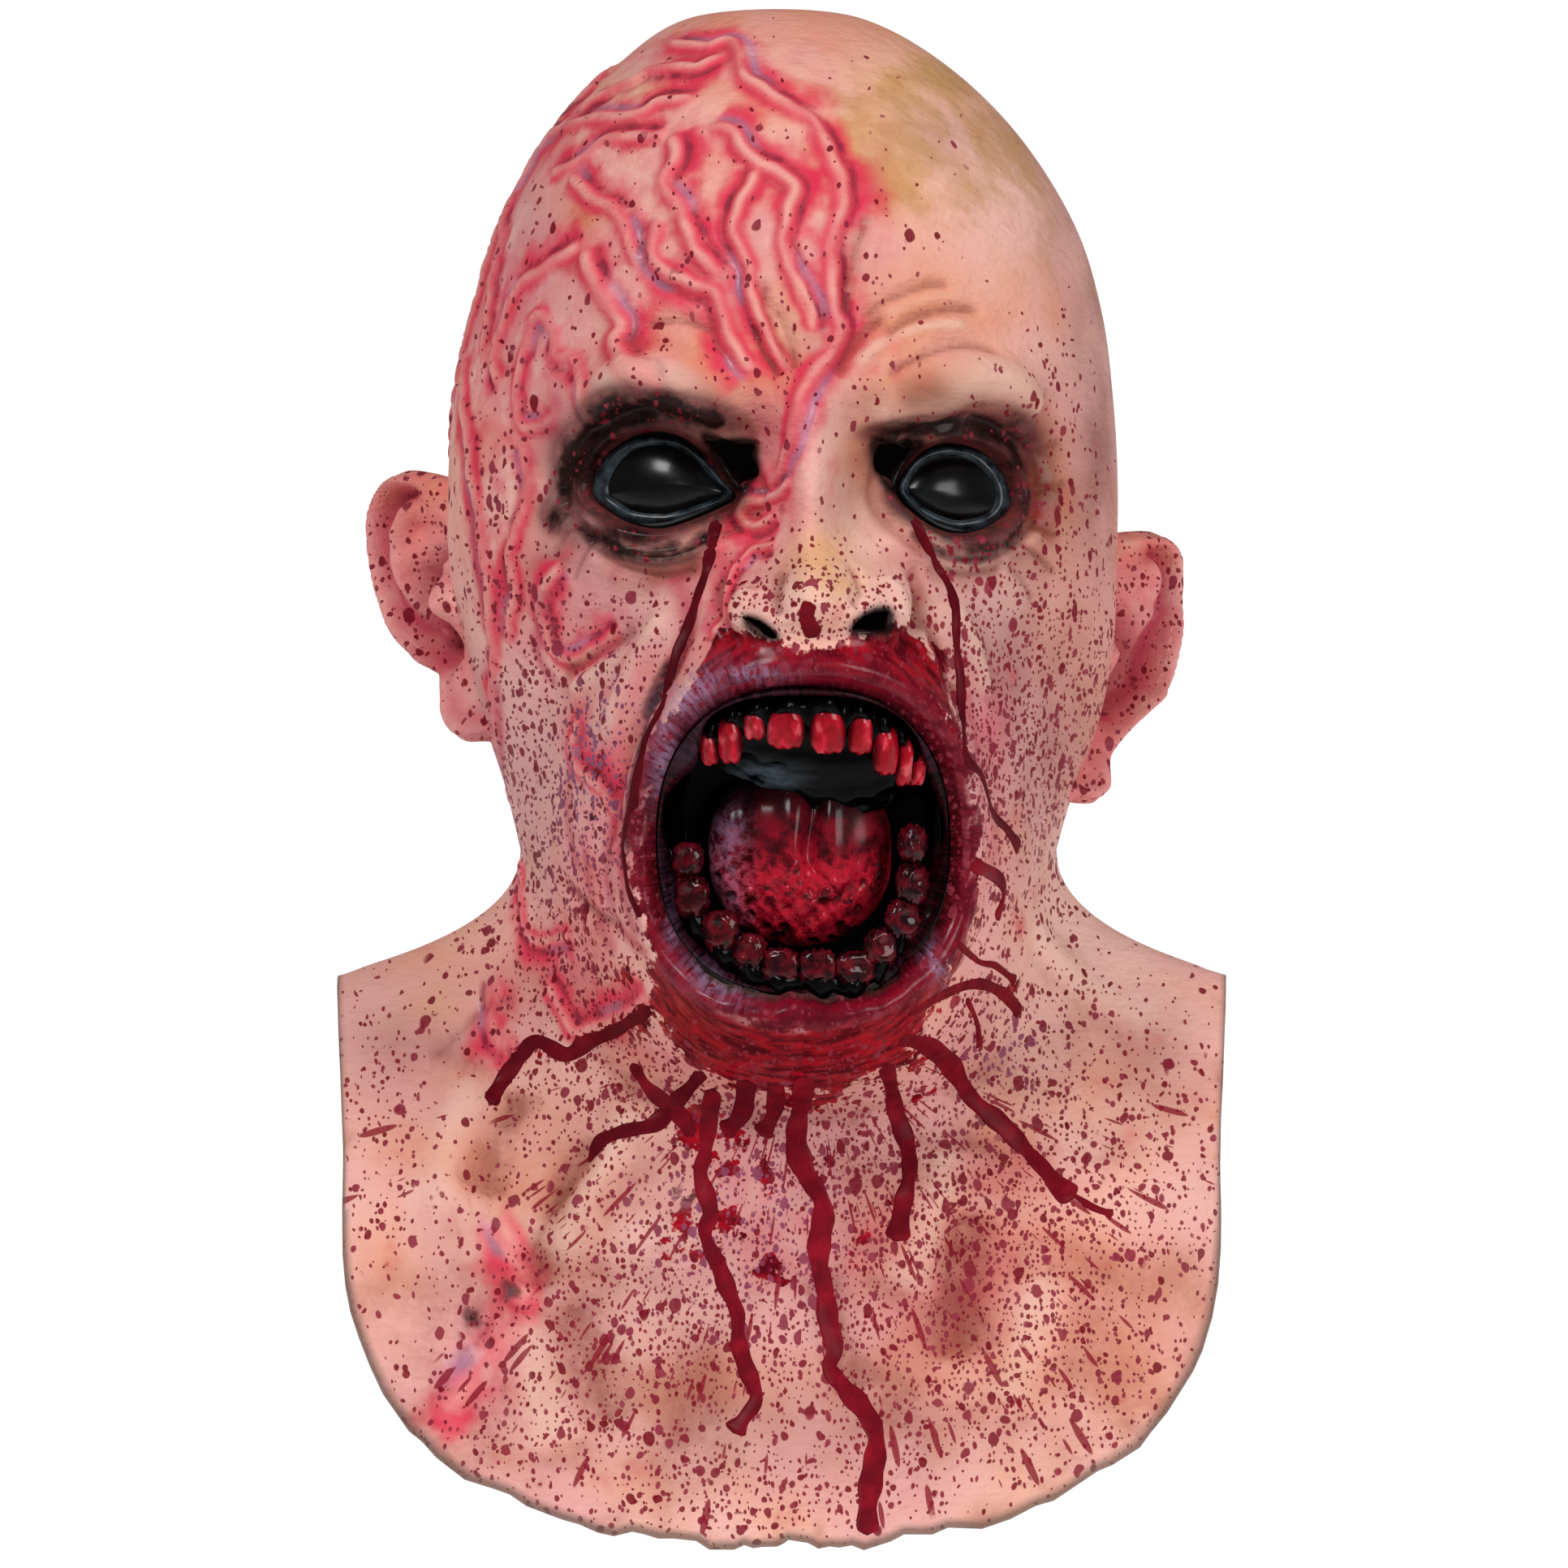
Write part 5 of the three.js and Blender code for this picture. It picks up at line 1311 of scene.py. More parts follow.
# ---------------------------------------------------------------- Blood runs
# Stage blood that ran from the eyes and the mouth and dried. It is dark red varnish, and stands
# under a millimetre proud of the skin, thickest in the bead at the foot of each run.
RUN_HEIGHT, RUN_SINK = 0.34, 0.35
# Half width in steps of the front view, swelling of the bead, how old and dark, and points
RUNS = [
    (4.5, 0.3, 0.8, [(884, 640), (870, 700), (852, 760), (836, 800), (815, 870), (792, 920), (778, 1000)]),
    (4.0, 0.5, 0.7, [(1126, 636), (1150, 690), (1173, 730), (1180, 800), (1186, 880), (1190, 930),
                     (1210, 955), (1222, 1000), (1242, 1022), (1256, 1046)]),
    (8.5, 0.25, 0.1, [(993, 1325), (982, 1394), (988, 1438), (1014, 1483), (1009, 1538), (1019, 1616),
                      (1027, 1661), (1023, 1688), (1056, 1727), (1080, 1772), (1072, 1828), (1068, 1892)]),
    (7.0, 0.5, 0.3, [(1091, 1310), (1105, 1371), (1118, 1416), (1121, 1449), (1111, 1488), (1106, 1530)]),
    (8.0, 0.4, 0.2, [(1108, 1282), (1142, 1288), (1169, 1310), (1194, 1349), (1236, 1388), (1270, 1422),
                     (1298, 1455), (1324, 1476)]),
    (3.0, 0.3, 0.2, [(1318, 1470), (1345, 1486), (1372, 1497)]),
    (6.5, 0.4, 0.2, [(880, 1340), (869, 1416), (864, 1449), (875, 1494), (870, 1522), (892, 1577),
                     (908, 1616), (909, 1650), (921, 1688), (931, 1722), (920, 1744), (903, 1766)]),
    (7.5, 0.3, 0.4, [(921, 1330), (914, 1371), (890, 1396)]),
    (7.0, 0.3, 0.3, [(957, 1334), (953, 1371), (937, 1400)]),
    (7.0, 0.2, 0.5, [(800, 1240), (764, 1266), (725, 1282), (697, 1299), (662, 1284), (642, 1299),
                     (620, 1332), (602, 1360)]),
    (6.5, 0.3, 0.6, [(866, 1320), (836, 1355), (808, 1383), (769, 1394), (738, 1408), (729, 1430)]),
    (7.0, 0.2, 0.3, [(855, 1400), (835, 1372), (800, 1340), (778, 1310)]),
    (5.0, 0.3, 0.3, [(1120, 1250), (1160, 1227), (1205, 1212), (1236, 1224), (1257, 1250)]),
    (5.5, 0.4, 0.2, [(1196, 1062), (1230, 1082), (1236, 1104), (1228, 1134)]),
    (6.0, 0.3, 0.1, [(1000, 742), (994, 760), (1004, 786)]),
    (3.0, 0.6, 0.2, [(1178, 1160), (1205, 1185), (1228, 1190), (1252, 1210)]),
    (3.0, 0.6, 0.1, [(1190, 1230), (1204, 1262), (1208, 1290)]),
    (4.0, 0.2, 0.8, [(776, 990), (768, 1040), (772, 1090), (790, 1130)]),
]


def laid(steps):
    """Places on the skin behind points of the front view, and which way it faces there."""
    places, facings = [], []
    for aim in sighted(steps, 0):
        sight = Vector(aim - EYE_POINT).normalized()
        place, normal = skin_tree.ray_cast(Vector(EYE_POINT), sight)[:2]
        if place is None or place.y > -30:
            place, normal = skin_tree.find_nearest(Vector((aim[0], -95, aim[2])))[:2]
        places.append(place)
        facings.append(normal)
    return np.array(places), np.array(facings)


dried_blood = Finish("dried_blood", coat=0.05, coat_rough=0.25, specular=0.01)
run_spot = dried_blood.place()
run_cloud = dried_blood.noise(run_spot, 6, detail=4)
run_grain = dried_blood.noise(run_spot, 1.6, detail=3)
run_share = dried_blood.ease(run_cloud, 0.35, 0.68)
run_colour = dried_blood.mix(run_share, paint("7a101f"), paint("981828"))
run_colour = dried_blood.mix(dried_blood.painted("old") * 0.85, run_colour, paint("2c0a0f"))
run_colour = dried_blood.mix(dried_blood.painted("brim") * 0.45, run_colour, paint("4f1018"))
dried_blood.feed(dried_blood.shader, {
    "Base Color": run_colour, "Roughness": dried_blood.between(run_cloud, 0.3, 0.55),
    "Normal": dried_blood.bump(run_grain + run_cloud, 0.5, 0.5)})

for n, (half, bead, old, points) in enumerate(RUNS):
    path = rounded(points, cuts=7)
    lengths = np.concatenate([[0], np.cumsum(np.linalg.norm(np.diff(path, axis=0), axis=1))])
    heading = np.gradient(path, axis=0)
    heading /= np.linalg.norm(heading, axis=1)[:, None]
    path += np.stack([-heading[:, 1], heading[:, 0]], 1) * (0.8 * np.sin(lengths / 13 + n))[:, None]
    left = lengths[-1] - lengths
    taper = np.sqrt(np.clip(1 - np.clip(1 - np.minimum(lengths, left) / half, 0, 1) ** 2, 0, 1))
    swell = 1 + 0.14 * np.sin(lengths / 17 + n) + 0.1 * np.sin(lengths / 6.3 + 2 * n)
    swell += bead * np.exp(-((left - half) / (1.3 * half)) ** 2)
    width = 1.5 * half * swell * taper
    run_form = sheet(14, len(path) - 1)
    turn, share = places_of(run_form)[:, :2].T
    row = np.round(share * (len(path) - 1)).astype(int)
    across, up = np.cos(2 * np.pi * turn), np.sin(2 * np.pi * turn)
    middles, outwards = laid(path)
    onwards = np.gradient(middles, axis=0)
    sideways = np.cross(outwards, onwards)
    sideways /= np.linalg.norm(sideways, axis=1)[:, None] + 1e-9
    aims = middles[row] + sideways[row] * (across * width[row] * SIGHT_SCALE)[:, None]
    found = [skin_tree.find_nearest(Vector(aim))[:2] for aim in aims]
    places, facings = np.array([f[0] for f in found]), np.array([f[1] for f in found])
    rise = np.where(up > 0, RUN_HEIGHT * up * swell[row], RUN_SINK * up) * taper[row]
    move(run_form, places + facings * rise[:, None])
    run = piece(f"blood_run_{n + 1}", run_form, [dried_blood])
    seen = seen_at(np.array([v.co for v in run.data.vertices]) / MM)
    keep_paints(run, dried_blood, {"old": np.full(len(seen), old),
                      "brim": 0.5 + 0.5 * np.sin(seen[:, 1] / 9 + seen[:, 0] / 14)})
    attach(run, "root")
    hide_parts("skin")


# ---------------------------------------------------------------- Eyes
# Two black glass-like half balls, glued in behind the lids. Each has a raised grey rim where the
# casting closes round it.
eye_black = Finish("eye_black", coat=0.5, coat_rough=0.22, specular=0.03)
eye_spot = eye_black.place()
smoke = eye_black.noise(eye_spot, 14, detail=4)
scuffs = eye_black.noise(eye_black.stretch(eye_spot, (1, 1, 0.25)), 2.5, detail=4, rough=0.7)
eye_colour = eye_black.mix(eye_black.ease(smoke, 0.4, 0.75), paint("020203"), paint("0d1012"))
eye_rough = eye_black.between(eye_black.ease(scuffs, 0.4, 0.7), 0.2, 0.36)
eye_bump = eye_black.bump(eye_black.noise(eye_spot, 6, detail=3), 0.6, 0.35)
eye_black.feed(eye_black.shader, {
    "Base Color": eye_colour, "Roughness": eye_rough, "Normal": eye_bump})

rim_grey = Finish("eye_rim_grey", coat=0.4, coat_rough=0.2, specular=0.1)
rim_spot = rim_grey.place()
rim_mottle = rim_grey.noise(rim_spot, 4, detail=4)
rim_colour = rim_grey.mix(rim_grey.ease(rim_mottle, 0.35, 0.7), paint("0c1013"), paint("333d44"))
rim_rough = rim_grey.between(rim_mottle, 0.25, 0.5)
rim_grey.feed(rim_grey.shader, {"Base Color": rim_colour, "Roughness": rim_rough,
                                "Normal": rim_grey.bump(rim_mottle, 0.8, 0.6)})

# Rim's section: share of its width inwards from the lid, and depth from its seat
RIM_SECTION = np.array([
    (-0.12, 1.2), (0.0, -0.5), (0.14, -1.5), (0.3, -1.7), (0.5, -1.0), (0.75, 0.0), (0.97, 0.9), (1.06, 1.8),
    (0.9, 2.6), (0.5, 2.8), (0.1, 2.6), (-0.12, 1.2),
])
BALL_BULGE, BALL_DEPTH, RIM_WIDTH = 6.8, 9.0, 5.0
for name, outline, outer_side in (("left", EYE_LEFT, -1), ("right", EYE_RIGHT, 1)):
    around = sighted(rounded(outline, closed=True, cuts=8), -86)
    centre = around.mean(0)
    lids = cast(seen_at(centre + (around - centre) * 1.1), skin_tree)
    lids = lids[lids[:, 1] < -60]
    spread = np.c_[lids[:, 0], lids[:, 2], np.ones(len(lids))]
    plane = np.linalg.lstsq(spread, lids[:, 1], rcond=None)[0]

    def seat(x, z):
        return plane[0] * x + plane[1] * z + plane[2] + 0.8

    def ring_round(turn):
        ring = around[np.round(turn * len(around)).astype(int) % len(around)]
        away = ring - centre
        reach = np.linalg.norm(away, axis=1)[:, None]
        return ring, away / reach, reach[:, 0]

    ball_form = sheet(72, 30)
    turn, level = places_of(ball_form)[:, :2].T
    reach = np.where(level < 0.7, level / 0.7, np.where(level < 0.85, 1, (1 - level) / 0.15))
    ring = ring_round(turn)[0]
    x = centre[0] + (ring[:, 0] - centre[0]) * reach * 0.94
    z = centre[2] + (ring[:, 2] - centre[2]) * reach * 0.94
    dome = -BALL_BULGE * np.maximum(1 - reach ** 2, 0) ** 0.7
    back = np.where(level < 0.7, dome, BALL_DEPTH * ease(level, 0.7, 0.85))
    move(ball_form, np.stack([x, seat(x, z) + 2.0 + back, z], 1))
    ball = piece("eye_ball_" + name, ball_form, [eye_black])
    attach(ball, "root")
    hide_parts("eye_" + name)

    rim_form = sheet(104, 22)
    turn, round_turn = places_of(rim_form)[:, :2].T
    ring, away, reach = ring_round(turn)
    section = along(RIM_SECTION, round_turn * (len(RIM_SECTION) - 1))
    width = RIM_WIDTH * (1 + 0.35 * away[:, 0] * outer_side - 0.15 * away[:, 2])
    width *= 1 + 0.08 * np.sin(turn * 31) * np.sin(turn * 13)
    places = ring - away * (section[:, 0] * width)[:, None]
    knobs = 0.15 * np.sin(turn * 47) * (section[:, 1] < 0)
    places[:, 1] = seat(places[:, 0], places[:, 2]) + section[:, 1] + knobs
    move(rim_form, places)
    rim = piece("eye_rim_" + name, rim_form, [rim_grey])
    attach(rim, "root")
    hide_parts("eye_" + name)


# ---------------------------------------------------------------- Mouth lining
# The lips turn in over a dark funnel, which is cast with them and runs back to a closed throat.
# It is brushed black and plum under clear gloss, with painted shade deeper in and a painted purple sheen at
# the lips.
INNER_LIP = [
    (1000, 856), (1054, 857), (1095, 865), (1119, 878), (1133, 902), (1140, 940), (1156, 985),
    (1168, 1017), (1163, 1042), (1146, 1070), (1138, 1105), (1128, 1144), (1108, 1180),
    (1080, 1204), (1050, 1216), (999, 1219), (947, 1216), (915, 1206), (886, 1187), (862, 1166),
    (845, 1148), (836, 1113), (828, 1061), (814, 1031), (812, 1009), (818, 985), (836, 962),
    (856, 946), (862, 920), (868, 890), (882, 870), (910, 860), (950, 856),
]


def mouth_ring(turn, shrink):
    """Points round the mouth's opening, smaller all round by shrink."""
    def square(value):
        return np.sign(value) * np.abs(value) ** (2 / MOUTH_CURVE)
    x = MOUTH_X + (MOUTH_WIDTH / 2 - shrink) * square(np.sin(turn))
    return x, MOUTH_Z + (MOUTH_HEIGHT / 2 - shrink) * square(np.cos(turn))


def lip_front(x, z):
    """Depth of the lips just outside the mouth's opening."""
    found = []
    for px, pz in zip(x, z):
        away = np.array([px - MOUTH_X, pz - MOUTH_Z]) * (1 + 4.0 / 42)
        before = Vector((MOUTH_X + away[0], -400, MOUTH_Z + away[1]))
        found.append(smooth_skin.ray_cast(before, Vector((0, 1, 0)))[0][1])
    return np.array(found)


AROUND_MOUTH = 120
ring_turns = np.linspace(0, 2 * np.pi, AROUND_MOUTH + 1)
lip_y = lip_front(*mouth_ring(ring_turns, 0))
inner_lip = sighted(rounded(INNER_LIP, closed=True, cuts=12), -118)
inner_turns = np.unwrap(np.arctan2(inner_lip[:, 0] - MOUTH_X, inner_lip[:, 2] - MOUTH_Z))
inner_turns -= 2 * np.pi * np.round(inner_turns[0] / (2 * np.pi))
inner_turns = inner_turns % (2 * np.pi)
order = np.argsort(inner_turns)
inner_x, inner_z = [
    np.interp(ring_turns, inner_turns[order], inner_lip[order, axis], period=2 * np.pi)
    for axis in (0, 2)]

lining_form = sheet(AROUND_MOUTH, 44)
turn, depth = places_of(lining_form)[:, :2].T
turn_index = np.round(turn * AROUND_MOUTH).astype(int)
ring_angle = ring_turns[turn_index]
# Stations from the lip's edge to the throat: share of the way, depth past the lip's edge or its
# own depth, how much of the inner lip's outline, and how far inside the opening
STATIONS = np.array([
    (0.00, 4.0, 0.00, 0.4), (0.12, 4.6, 0.20, 1.2), (0.25, 6.5, 0.65, 2.2), (0.36, 9.0, 0.96, 2.8),
    (0.42, 11.0, 1.00, 3.0), (0.50, 14.0, 0.55, 3.0), (0.60, 20.0, 0.10, 3.0), (0.80, 34.0, 0.00, 3.0),
    (0.90, 43.0, 0.00, 6.0), (1.00, 46.0, 0.00, 43.0),
])
step = np.interp(depth, STATIONS[:, 0], np.arange(len(STATIONS)))
_, back, hug, shrink = along(STATIONS, step).T
open_x, open_z = mouth_ring(ring_angle, np.clip(shrink, 0, 41.9))
x = open_x + (inner_x[turn_index] - open_x) * np.clip(hug, 0, 1)
z = open_z + (inner_z[turn_index] - open_z) * np.clip(hug, 0, 1)
y = lip_y[turn_index] + back
deep = ease(depth, 0.45, 0.8)
y = y * (1 - deep) + deep * np.minimum(-120 + back, -74.5)
rolls = np.sin(ring_angle * 47) * np.sin(ring_angle * 19 + depth * 6) * ease(depth, 0.02, 0.2)
y += 0.5 * rolls * (1 - ease(depth, 0.4, 0.5))
move(lining_form, np.stack([x, y, z], 1))

wet_plum = Finish("wet_plum", coat=0.15, coat_rough=0.16, specular=0.02)
plum_spot = wet_plum.place()
x, y, z = wet_plum.axes(plum_spot)
from_x, from_z = x - MOUTH_X * MM, z - MOUTH_Z * MM
plum_turn = from_x.maths("ARCTAN2", from_x, from_z)
wrinkle_place = wet_plum.vector(plum_turn * 0.045, y * 0.3, 0.0)
plum_wrinkles = wet_plum.noise(wrinkle_place, 1.4, detail=4, rough=0.6)
plum_mottle = wet_plum.noise(plum_spot, 9, detail=4, rough=0.6)
depth_in = wet_plum.painted("depth_in")
wrinkled = wet_plum.ease(plum_wrinkles, 0.35, 0.65)
plum_colour = wet_plum.mix(wrinkled, paint("0c0406"), paint("3a0a14"))
# Purple sheen near the lips' turn: painted reflection
painted_sheen_share = wet_plum.painted("painted_lustre") * wet_plum.ease(plum_wrinkles + plum_mottle, 0.8, 1.2)
plum_colour = wet_plum.mix(painted_sheen_share * 0.5, plum_colour, paint("5d4660"))
# Black further into the mouth: painted shade
plum_colour = wet_plum.mix(wet_plum.ease(depth_in, 0.16, 0.4) * 0.98, plum_colour, paint("030202"))
plum_rough = wet_plum.between(plum_mottle, 0.2, 0.42)
plum_normal = wet_plum.bump(plum_mottle, 1.2, 0.5, wet_plum.bump(plum_wrinkles, 0.9, 0.9))
wet_plum.feed(wet_plum.shader, {
    "Base Color": plum_colour, "Roughness": plum_rough, "Normal": plum_normal})

face_out(lining_form, Vector((0, -1, 0)))
lining_places = places_of(lining_form)
lining_seen = seen_at(lining_places)
lining = piece("lining", lining_form, [wet_plum], Vector((0, -1, 0)))
# Places of the painted purple sheen on the lining
lining_painted_lustre = np.zeros(len(lining_places))
for x, y, wide, tall in (
    (835, 890, 34, 50), (862, 1195, 50, 30), (828, 1110, 20, 60), (900, 845, 60, 20),
    (1120, 1200, 40, 24), (1160, 900, 20, 40),
):
    gap = ((lining_seen[:, 0] - x) / wide) ** 2 + ((lining_seen[:, 1] - y) / tall) ** 2
    lining_painted_lustre = np.maximum(lining_painted_lustre, np.exp(-gap))
lining_turn = np.arctan2(lining_places[:, 0] - MOUTH_X, lining_places[:, 2] - MOUTH_Z)
lip_here = np.interp(lining_turn % (2 * np.pi), ring_turns, lip_y)
keep_paints(lining, wet_plum, {
    "painted_lustre": lining_painted_lustre, "depth_in": (lining_places[:, 1] - lip_here - 4) / 20})
thick = lining.modifiers.new("wall", "SOLIDIFY")
thick.thickness = 0.0018
thick.offset = -1
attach(lining, "root")
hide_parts("mouth_lining")


# ---------------------------------------------------------------- Palate
# A dark shelf that sags behind the upper teeth like the roof of an open mouth. It is part of the
# lining's casting, painted black and varnished.
palate_form = sheet(64, 30)
across, down = places_of(palate_form)[:, :2].T
# The shelf's lower edge from left to right: across and level
PALATE_EDGE = np.array([
    (-25, -218), (-21, -220), (-16.5, -222.5), (-8, -226), (2, -231), (12.6, -235), (22, -235.5),
    (31, -232.5), (36, -228), (40, -225)])
# Its section: depth, and share of the way down from behind the gum to the edge
SECTION = np.array([
    (-109, 0), (-107.5, 0.3), (-104, 0.62), (-100, 0.88), (-96.5, 1), (-93, 0.97), (-90, 0.8),
    (-86, 0.5)])
edge = along(PALATE_EDGE, across * (len(PALATE_EDGE) - 1))
section = along(SECTION, down * (len(SECTION) - 1))
swing = 2 * across - 1
z = -208 + (edge[:, 1] + 208) * section[:, 1]
z += 0.5 * np.sin(across * 60 + 5 * down) * np.sin(down * 26)
y = section[:, 0] + 4 * swing ** 2 + 12 * np.abs(swing) ** 5 + 0.5 * np.sin(down * 40 + 3 * across)
move(palate_form, np.stack([edge[:, 0], y, z], 1))
black_gloss = Finish("black_gloss", coat=0.17, coat_rough=0.12, specular=0.01)
gloss_spot = black_gloss.place()
ripple = black_gloss.noise(black_gloss.stretch(gloss_spot, (0.5, 1, 1.6)), 4, detail=4, rough=0.6)
gloss_mottle = black_gloss.noise(gloss_spot, 12, detail=3)
rippled = black_gloss.ease(ripple, 0.4, 0.75)
gloss_colour = black_gloss.mix(rippled, paint("010101"), paint("0a0607"))
# A grey-blue sheen at the left of the shelf: painted reflection
painted_sheen = black_gloss.painted("painted_sheen") * black_gloss.ease(ripple + gloss_mottle, 0.75, 1.15)
gloss_colour = black_gloss.mix(painted_sheen * 0.7, gloss_colour, paint("6a7782"))
gloss_rough = black_gloss.between(ripple, 0.25, 0.5)
black_gloss.feed(black_gloss.shader, {"Base Color": gloss_colour, "Roughness": gloss_rough,
                                      "Normal": black_gloss.bump(ripple, 1.4, 0.7)})
palate = piece("palate", palate_form, [black_gloss], Vector((0, -1, 0)))
palate_seen = seen_at(np.array([v.co for v in palate.data.vertices]) / MM)
keep_paints(palate, black_gloss, {"painted_sheen": np.exp(
    -((palate_seen[:, 0] - 940) / 42) ** 2 - ((palate_seen[:, 1] - 957) / 15) ** 2)})
thick = palate.modifiers.new("wall", "SOLIDIFY")
thick.thickness = 0.0015
thick.offset = -1
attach(palate, "root")
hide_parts("mouth_lining")


# ---------------------------------------------------------------- Upper teeth and gum
# Nine rounded teeth in a black varnished gum that swells between them. Each is cast hard, painted
# with clear red over ivory and left wet.
UPPER_TEETH = [
    (875, 921, 24, 42), (900, 910, 31, 60), (930, 892, 28, 38), (968, 895, 47, 54), (1020, 898, 45, 60),
    (1060, 902, 31, 54), (1091, 923, 33, 62), (1113, 938, 20, 60), (1129, 947, 22, 40),
]
TOOTH_THICK = 6.0
UPPER_FRONT, LOWER_FRONT, ARCH_DEPTH = -116, -110, 13

red_enamel = Finish("red_enamel", coat=0.45, coat_rough=0.1, specular=0.02)
tooth_spot = red_enamel.place()
tooth_streaks = red_enamel.noise(red_enamel.stretch(tooth_spot, (1, 1, 0.5)), 3.6, detail=3)
tooth_mottle = red_enamel.noise(tooth_spot, 5, detail=4)
tooth_share = red_enamel.ease(tooth_streaks, 0.35, 0.65)
tooth_colour = red_enamel.mix(tooth_share, paint("960818"), paint("cc1830"))
tooth_stain = red_enamel.ease(tooth_mottle, 0.58, 0.72) * 0.7
tooth_colour = red_enamel.mix(tooth_stain, tooth_colour, paint("6d1420"))
# Pale pink where streaks and mottle meet: painted highlight
tooth_highlight = red_enamel.ease(tooth_streaks + tooth_mottle, 1.05, 1.25) * 0.6
tooth_colour = red_enamel.mix(tooth_highlight, tooth_colour,
                              paint("ee6a74"))
# Darker towards the root and down both sides: painted shade
tooth_colour = red_enamel.mix(red_enamel.painted("root") * 0.85, tooth_colour, paint("1c0408"))
tooth_colour = red_enamel.mix(red_enamel.painted("flank") * 0.85, tooth_colour, paint("3a040c"))
red_enamel.feed(red_enamel.shader, {
    "Base Color": tooth_colour, "Roughness": red_enamel.between(tooth_mottle, 0.12, 0.35),
    "Normal": red_enamel.bump(tooth_streaks, 0.8, 0.5)})


def tooth_form(seen, front, arch_width, blunt):
    """A tooth as a rounded block: its place and size in the front view, its arch, and how
    square its lower and upper ends are."""
    x0, y0, wide, tall = seen
    centre = sighted([(x0, y0)], front)[0]
    bend = 1 - np.sqrt(max(1 - (min(abs(centre[0] - MOUTH_X) / arch_width, 1)) ** 2, 0))
    centre[1] = front + ARCH_DEPTH * bend
    scale = SIGHT_SCALE * (centre[1] - EYE_POINT[1]) / -EYE_POINT[1]
    form = sheet(26, 18)
    turn, level = places_of(form)[:, :2].T
    turn, pole = turn * 2 * np.pi, (level - 0.5) * np.pi

    def square(value, power):
        return np.sign(value) * np.abs(value) ** power
    flat_end = np.where(pole < 0, *blunt)
    x = square(np.cos(turn), 0.8) * np.cos(pole) ** flat_end * wide * scale / 2
    y = square(np.sin(turn), 0.8) * np.cos(pole) ** flat_end * TOOTH_THICK / 2
    z = square(np.sin(pole), flat_end) * tall * scale / 2
    swing = np.arctan2(centre[0] - MOUTH_X, arch_width) * 0.9
    return form, centre, x, y, z, swing, level


def stand(form, centre, x, y, z, swing):
    move(form, np.stack([
        centre[0] + x * np.cos(swing) - y * np.sin(swing),
        centre[1] + x * np.sin(swing) + y * np.cos(swing),
        centre[2] + z,
    ], 1))


for n, seen in enumerate(UPPER_TEETH):
    form, centre, x, y, z, swing, level = tooth_form(seen, UPPER_FRONT, 31, (0.55, 0.95))
    tall = seen[3] * SIGHT_SCALE / 2
    biting = 1 - ease(z, -tall, tall * 0.6)
    x *= 0.98 + 0.06 * biting
    y *= 1 - 0.35 * biting
    y -= 1.0 * (1 - biting) * np.cos(np.clip(x / (seen[2] * 0.12), -1, 1) * np.pi / 2)
    z += 0.35 * np.sin(x * 2.1 + n) * biting
    stand(form, centre, x, y, z, swing)
    tooth = piece(f"upper_incisor_{n + 1}", form, [red_enamel])
    from_centre = np.array([v.co for v in tooth.data.vertices]) / MM - centre
    sideways = from_centre[:, 0] * np.cos(swing) + from_centre[:, 1] * np.sin(swing)
    # Painted shade towards the root and at the sides
    keep_paints(tooth, red_enamel, {
        "root": ease(from_centre[:, 2], tall * 0.4, tall * 0.95),
        "flank": ease(np.abs(sideways) / (seen[2] * SIGHT_SCALE / 2), 0.62, 1.0)})
    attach(tooth, "root")
    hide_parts(f"upper_tooth_{n + 1}")


def gum_form(teeth, front, arch_width, rise, side, tall, thick):
    """A bar along a row of teeth that swells between them and draws back over each root."""
    seats = []
    for x0, y0, wide, high in teeth:
        place = sighted([(x0, y0 - side * (high / 2 - rise))], front)[0]
        bend = 1 - np.sqrt(max(1 - (min(abs(place[0] - MOUTH_X) / arch_width, 1)) ** 2, 0))
        seats.append((place[0], front + ARCH_DEPTH * bend + 1.0, place[2]))
    seats = np.array(seats)
    ends = np.array([2 * seats[0] - seats[1], 2 * seats[-1] - seats[-2]])
    ends[:, 1] += 3
    path_points = np.concatenate([ends[:1], seats, ends[1:]])
    count = len(path_points) - 1
    form = sheet(24 * count, 20)
    share, turn = places_of(form)[:, :2].T
    path = along(path_points, share * count)
    beat = np.cos(2 * np.pi * share * count)
    close = ease(share, 0, 0.04) * ease(1 - share, 0, 0.04)
    section = 2 * np.pi * turn
    arch = np.where(np.sin(section) * side < 0, 1 - 0.5 * beat, 1 + 0.35 * beat)
    down = np.sin(section) * tall * arch * np.sqrt(close)
    out = np.cos(section) * thick * (1 + 0.32 * beat) * np.sqrt(close)
    lumps = 0.9 * np.sin(share * 83) * np.sin(section * 3 + share * 47)
    y, z = path[:, 1] + 0.4 * lumps - out, path[:, 2] + down + 0.3 * lumps
    return form, np.stack([path[:, 0], y, z], 1)


form, places = gum_form(UPPER_TEETH, UPPER_FRONT, 31, 3, 1, 4.4, 4.6)
move(form, places)
upper_gum = piece("upper_gum_ridge", form, [black_gloss])
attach(upper_gum, "root")
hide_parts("upper_gum")


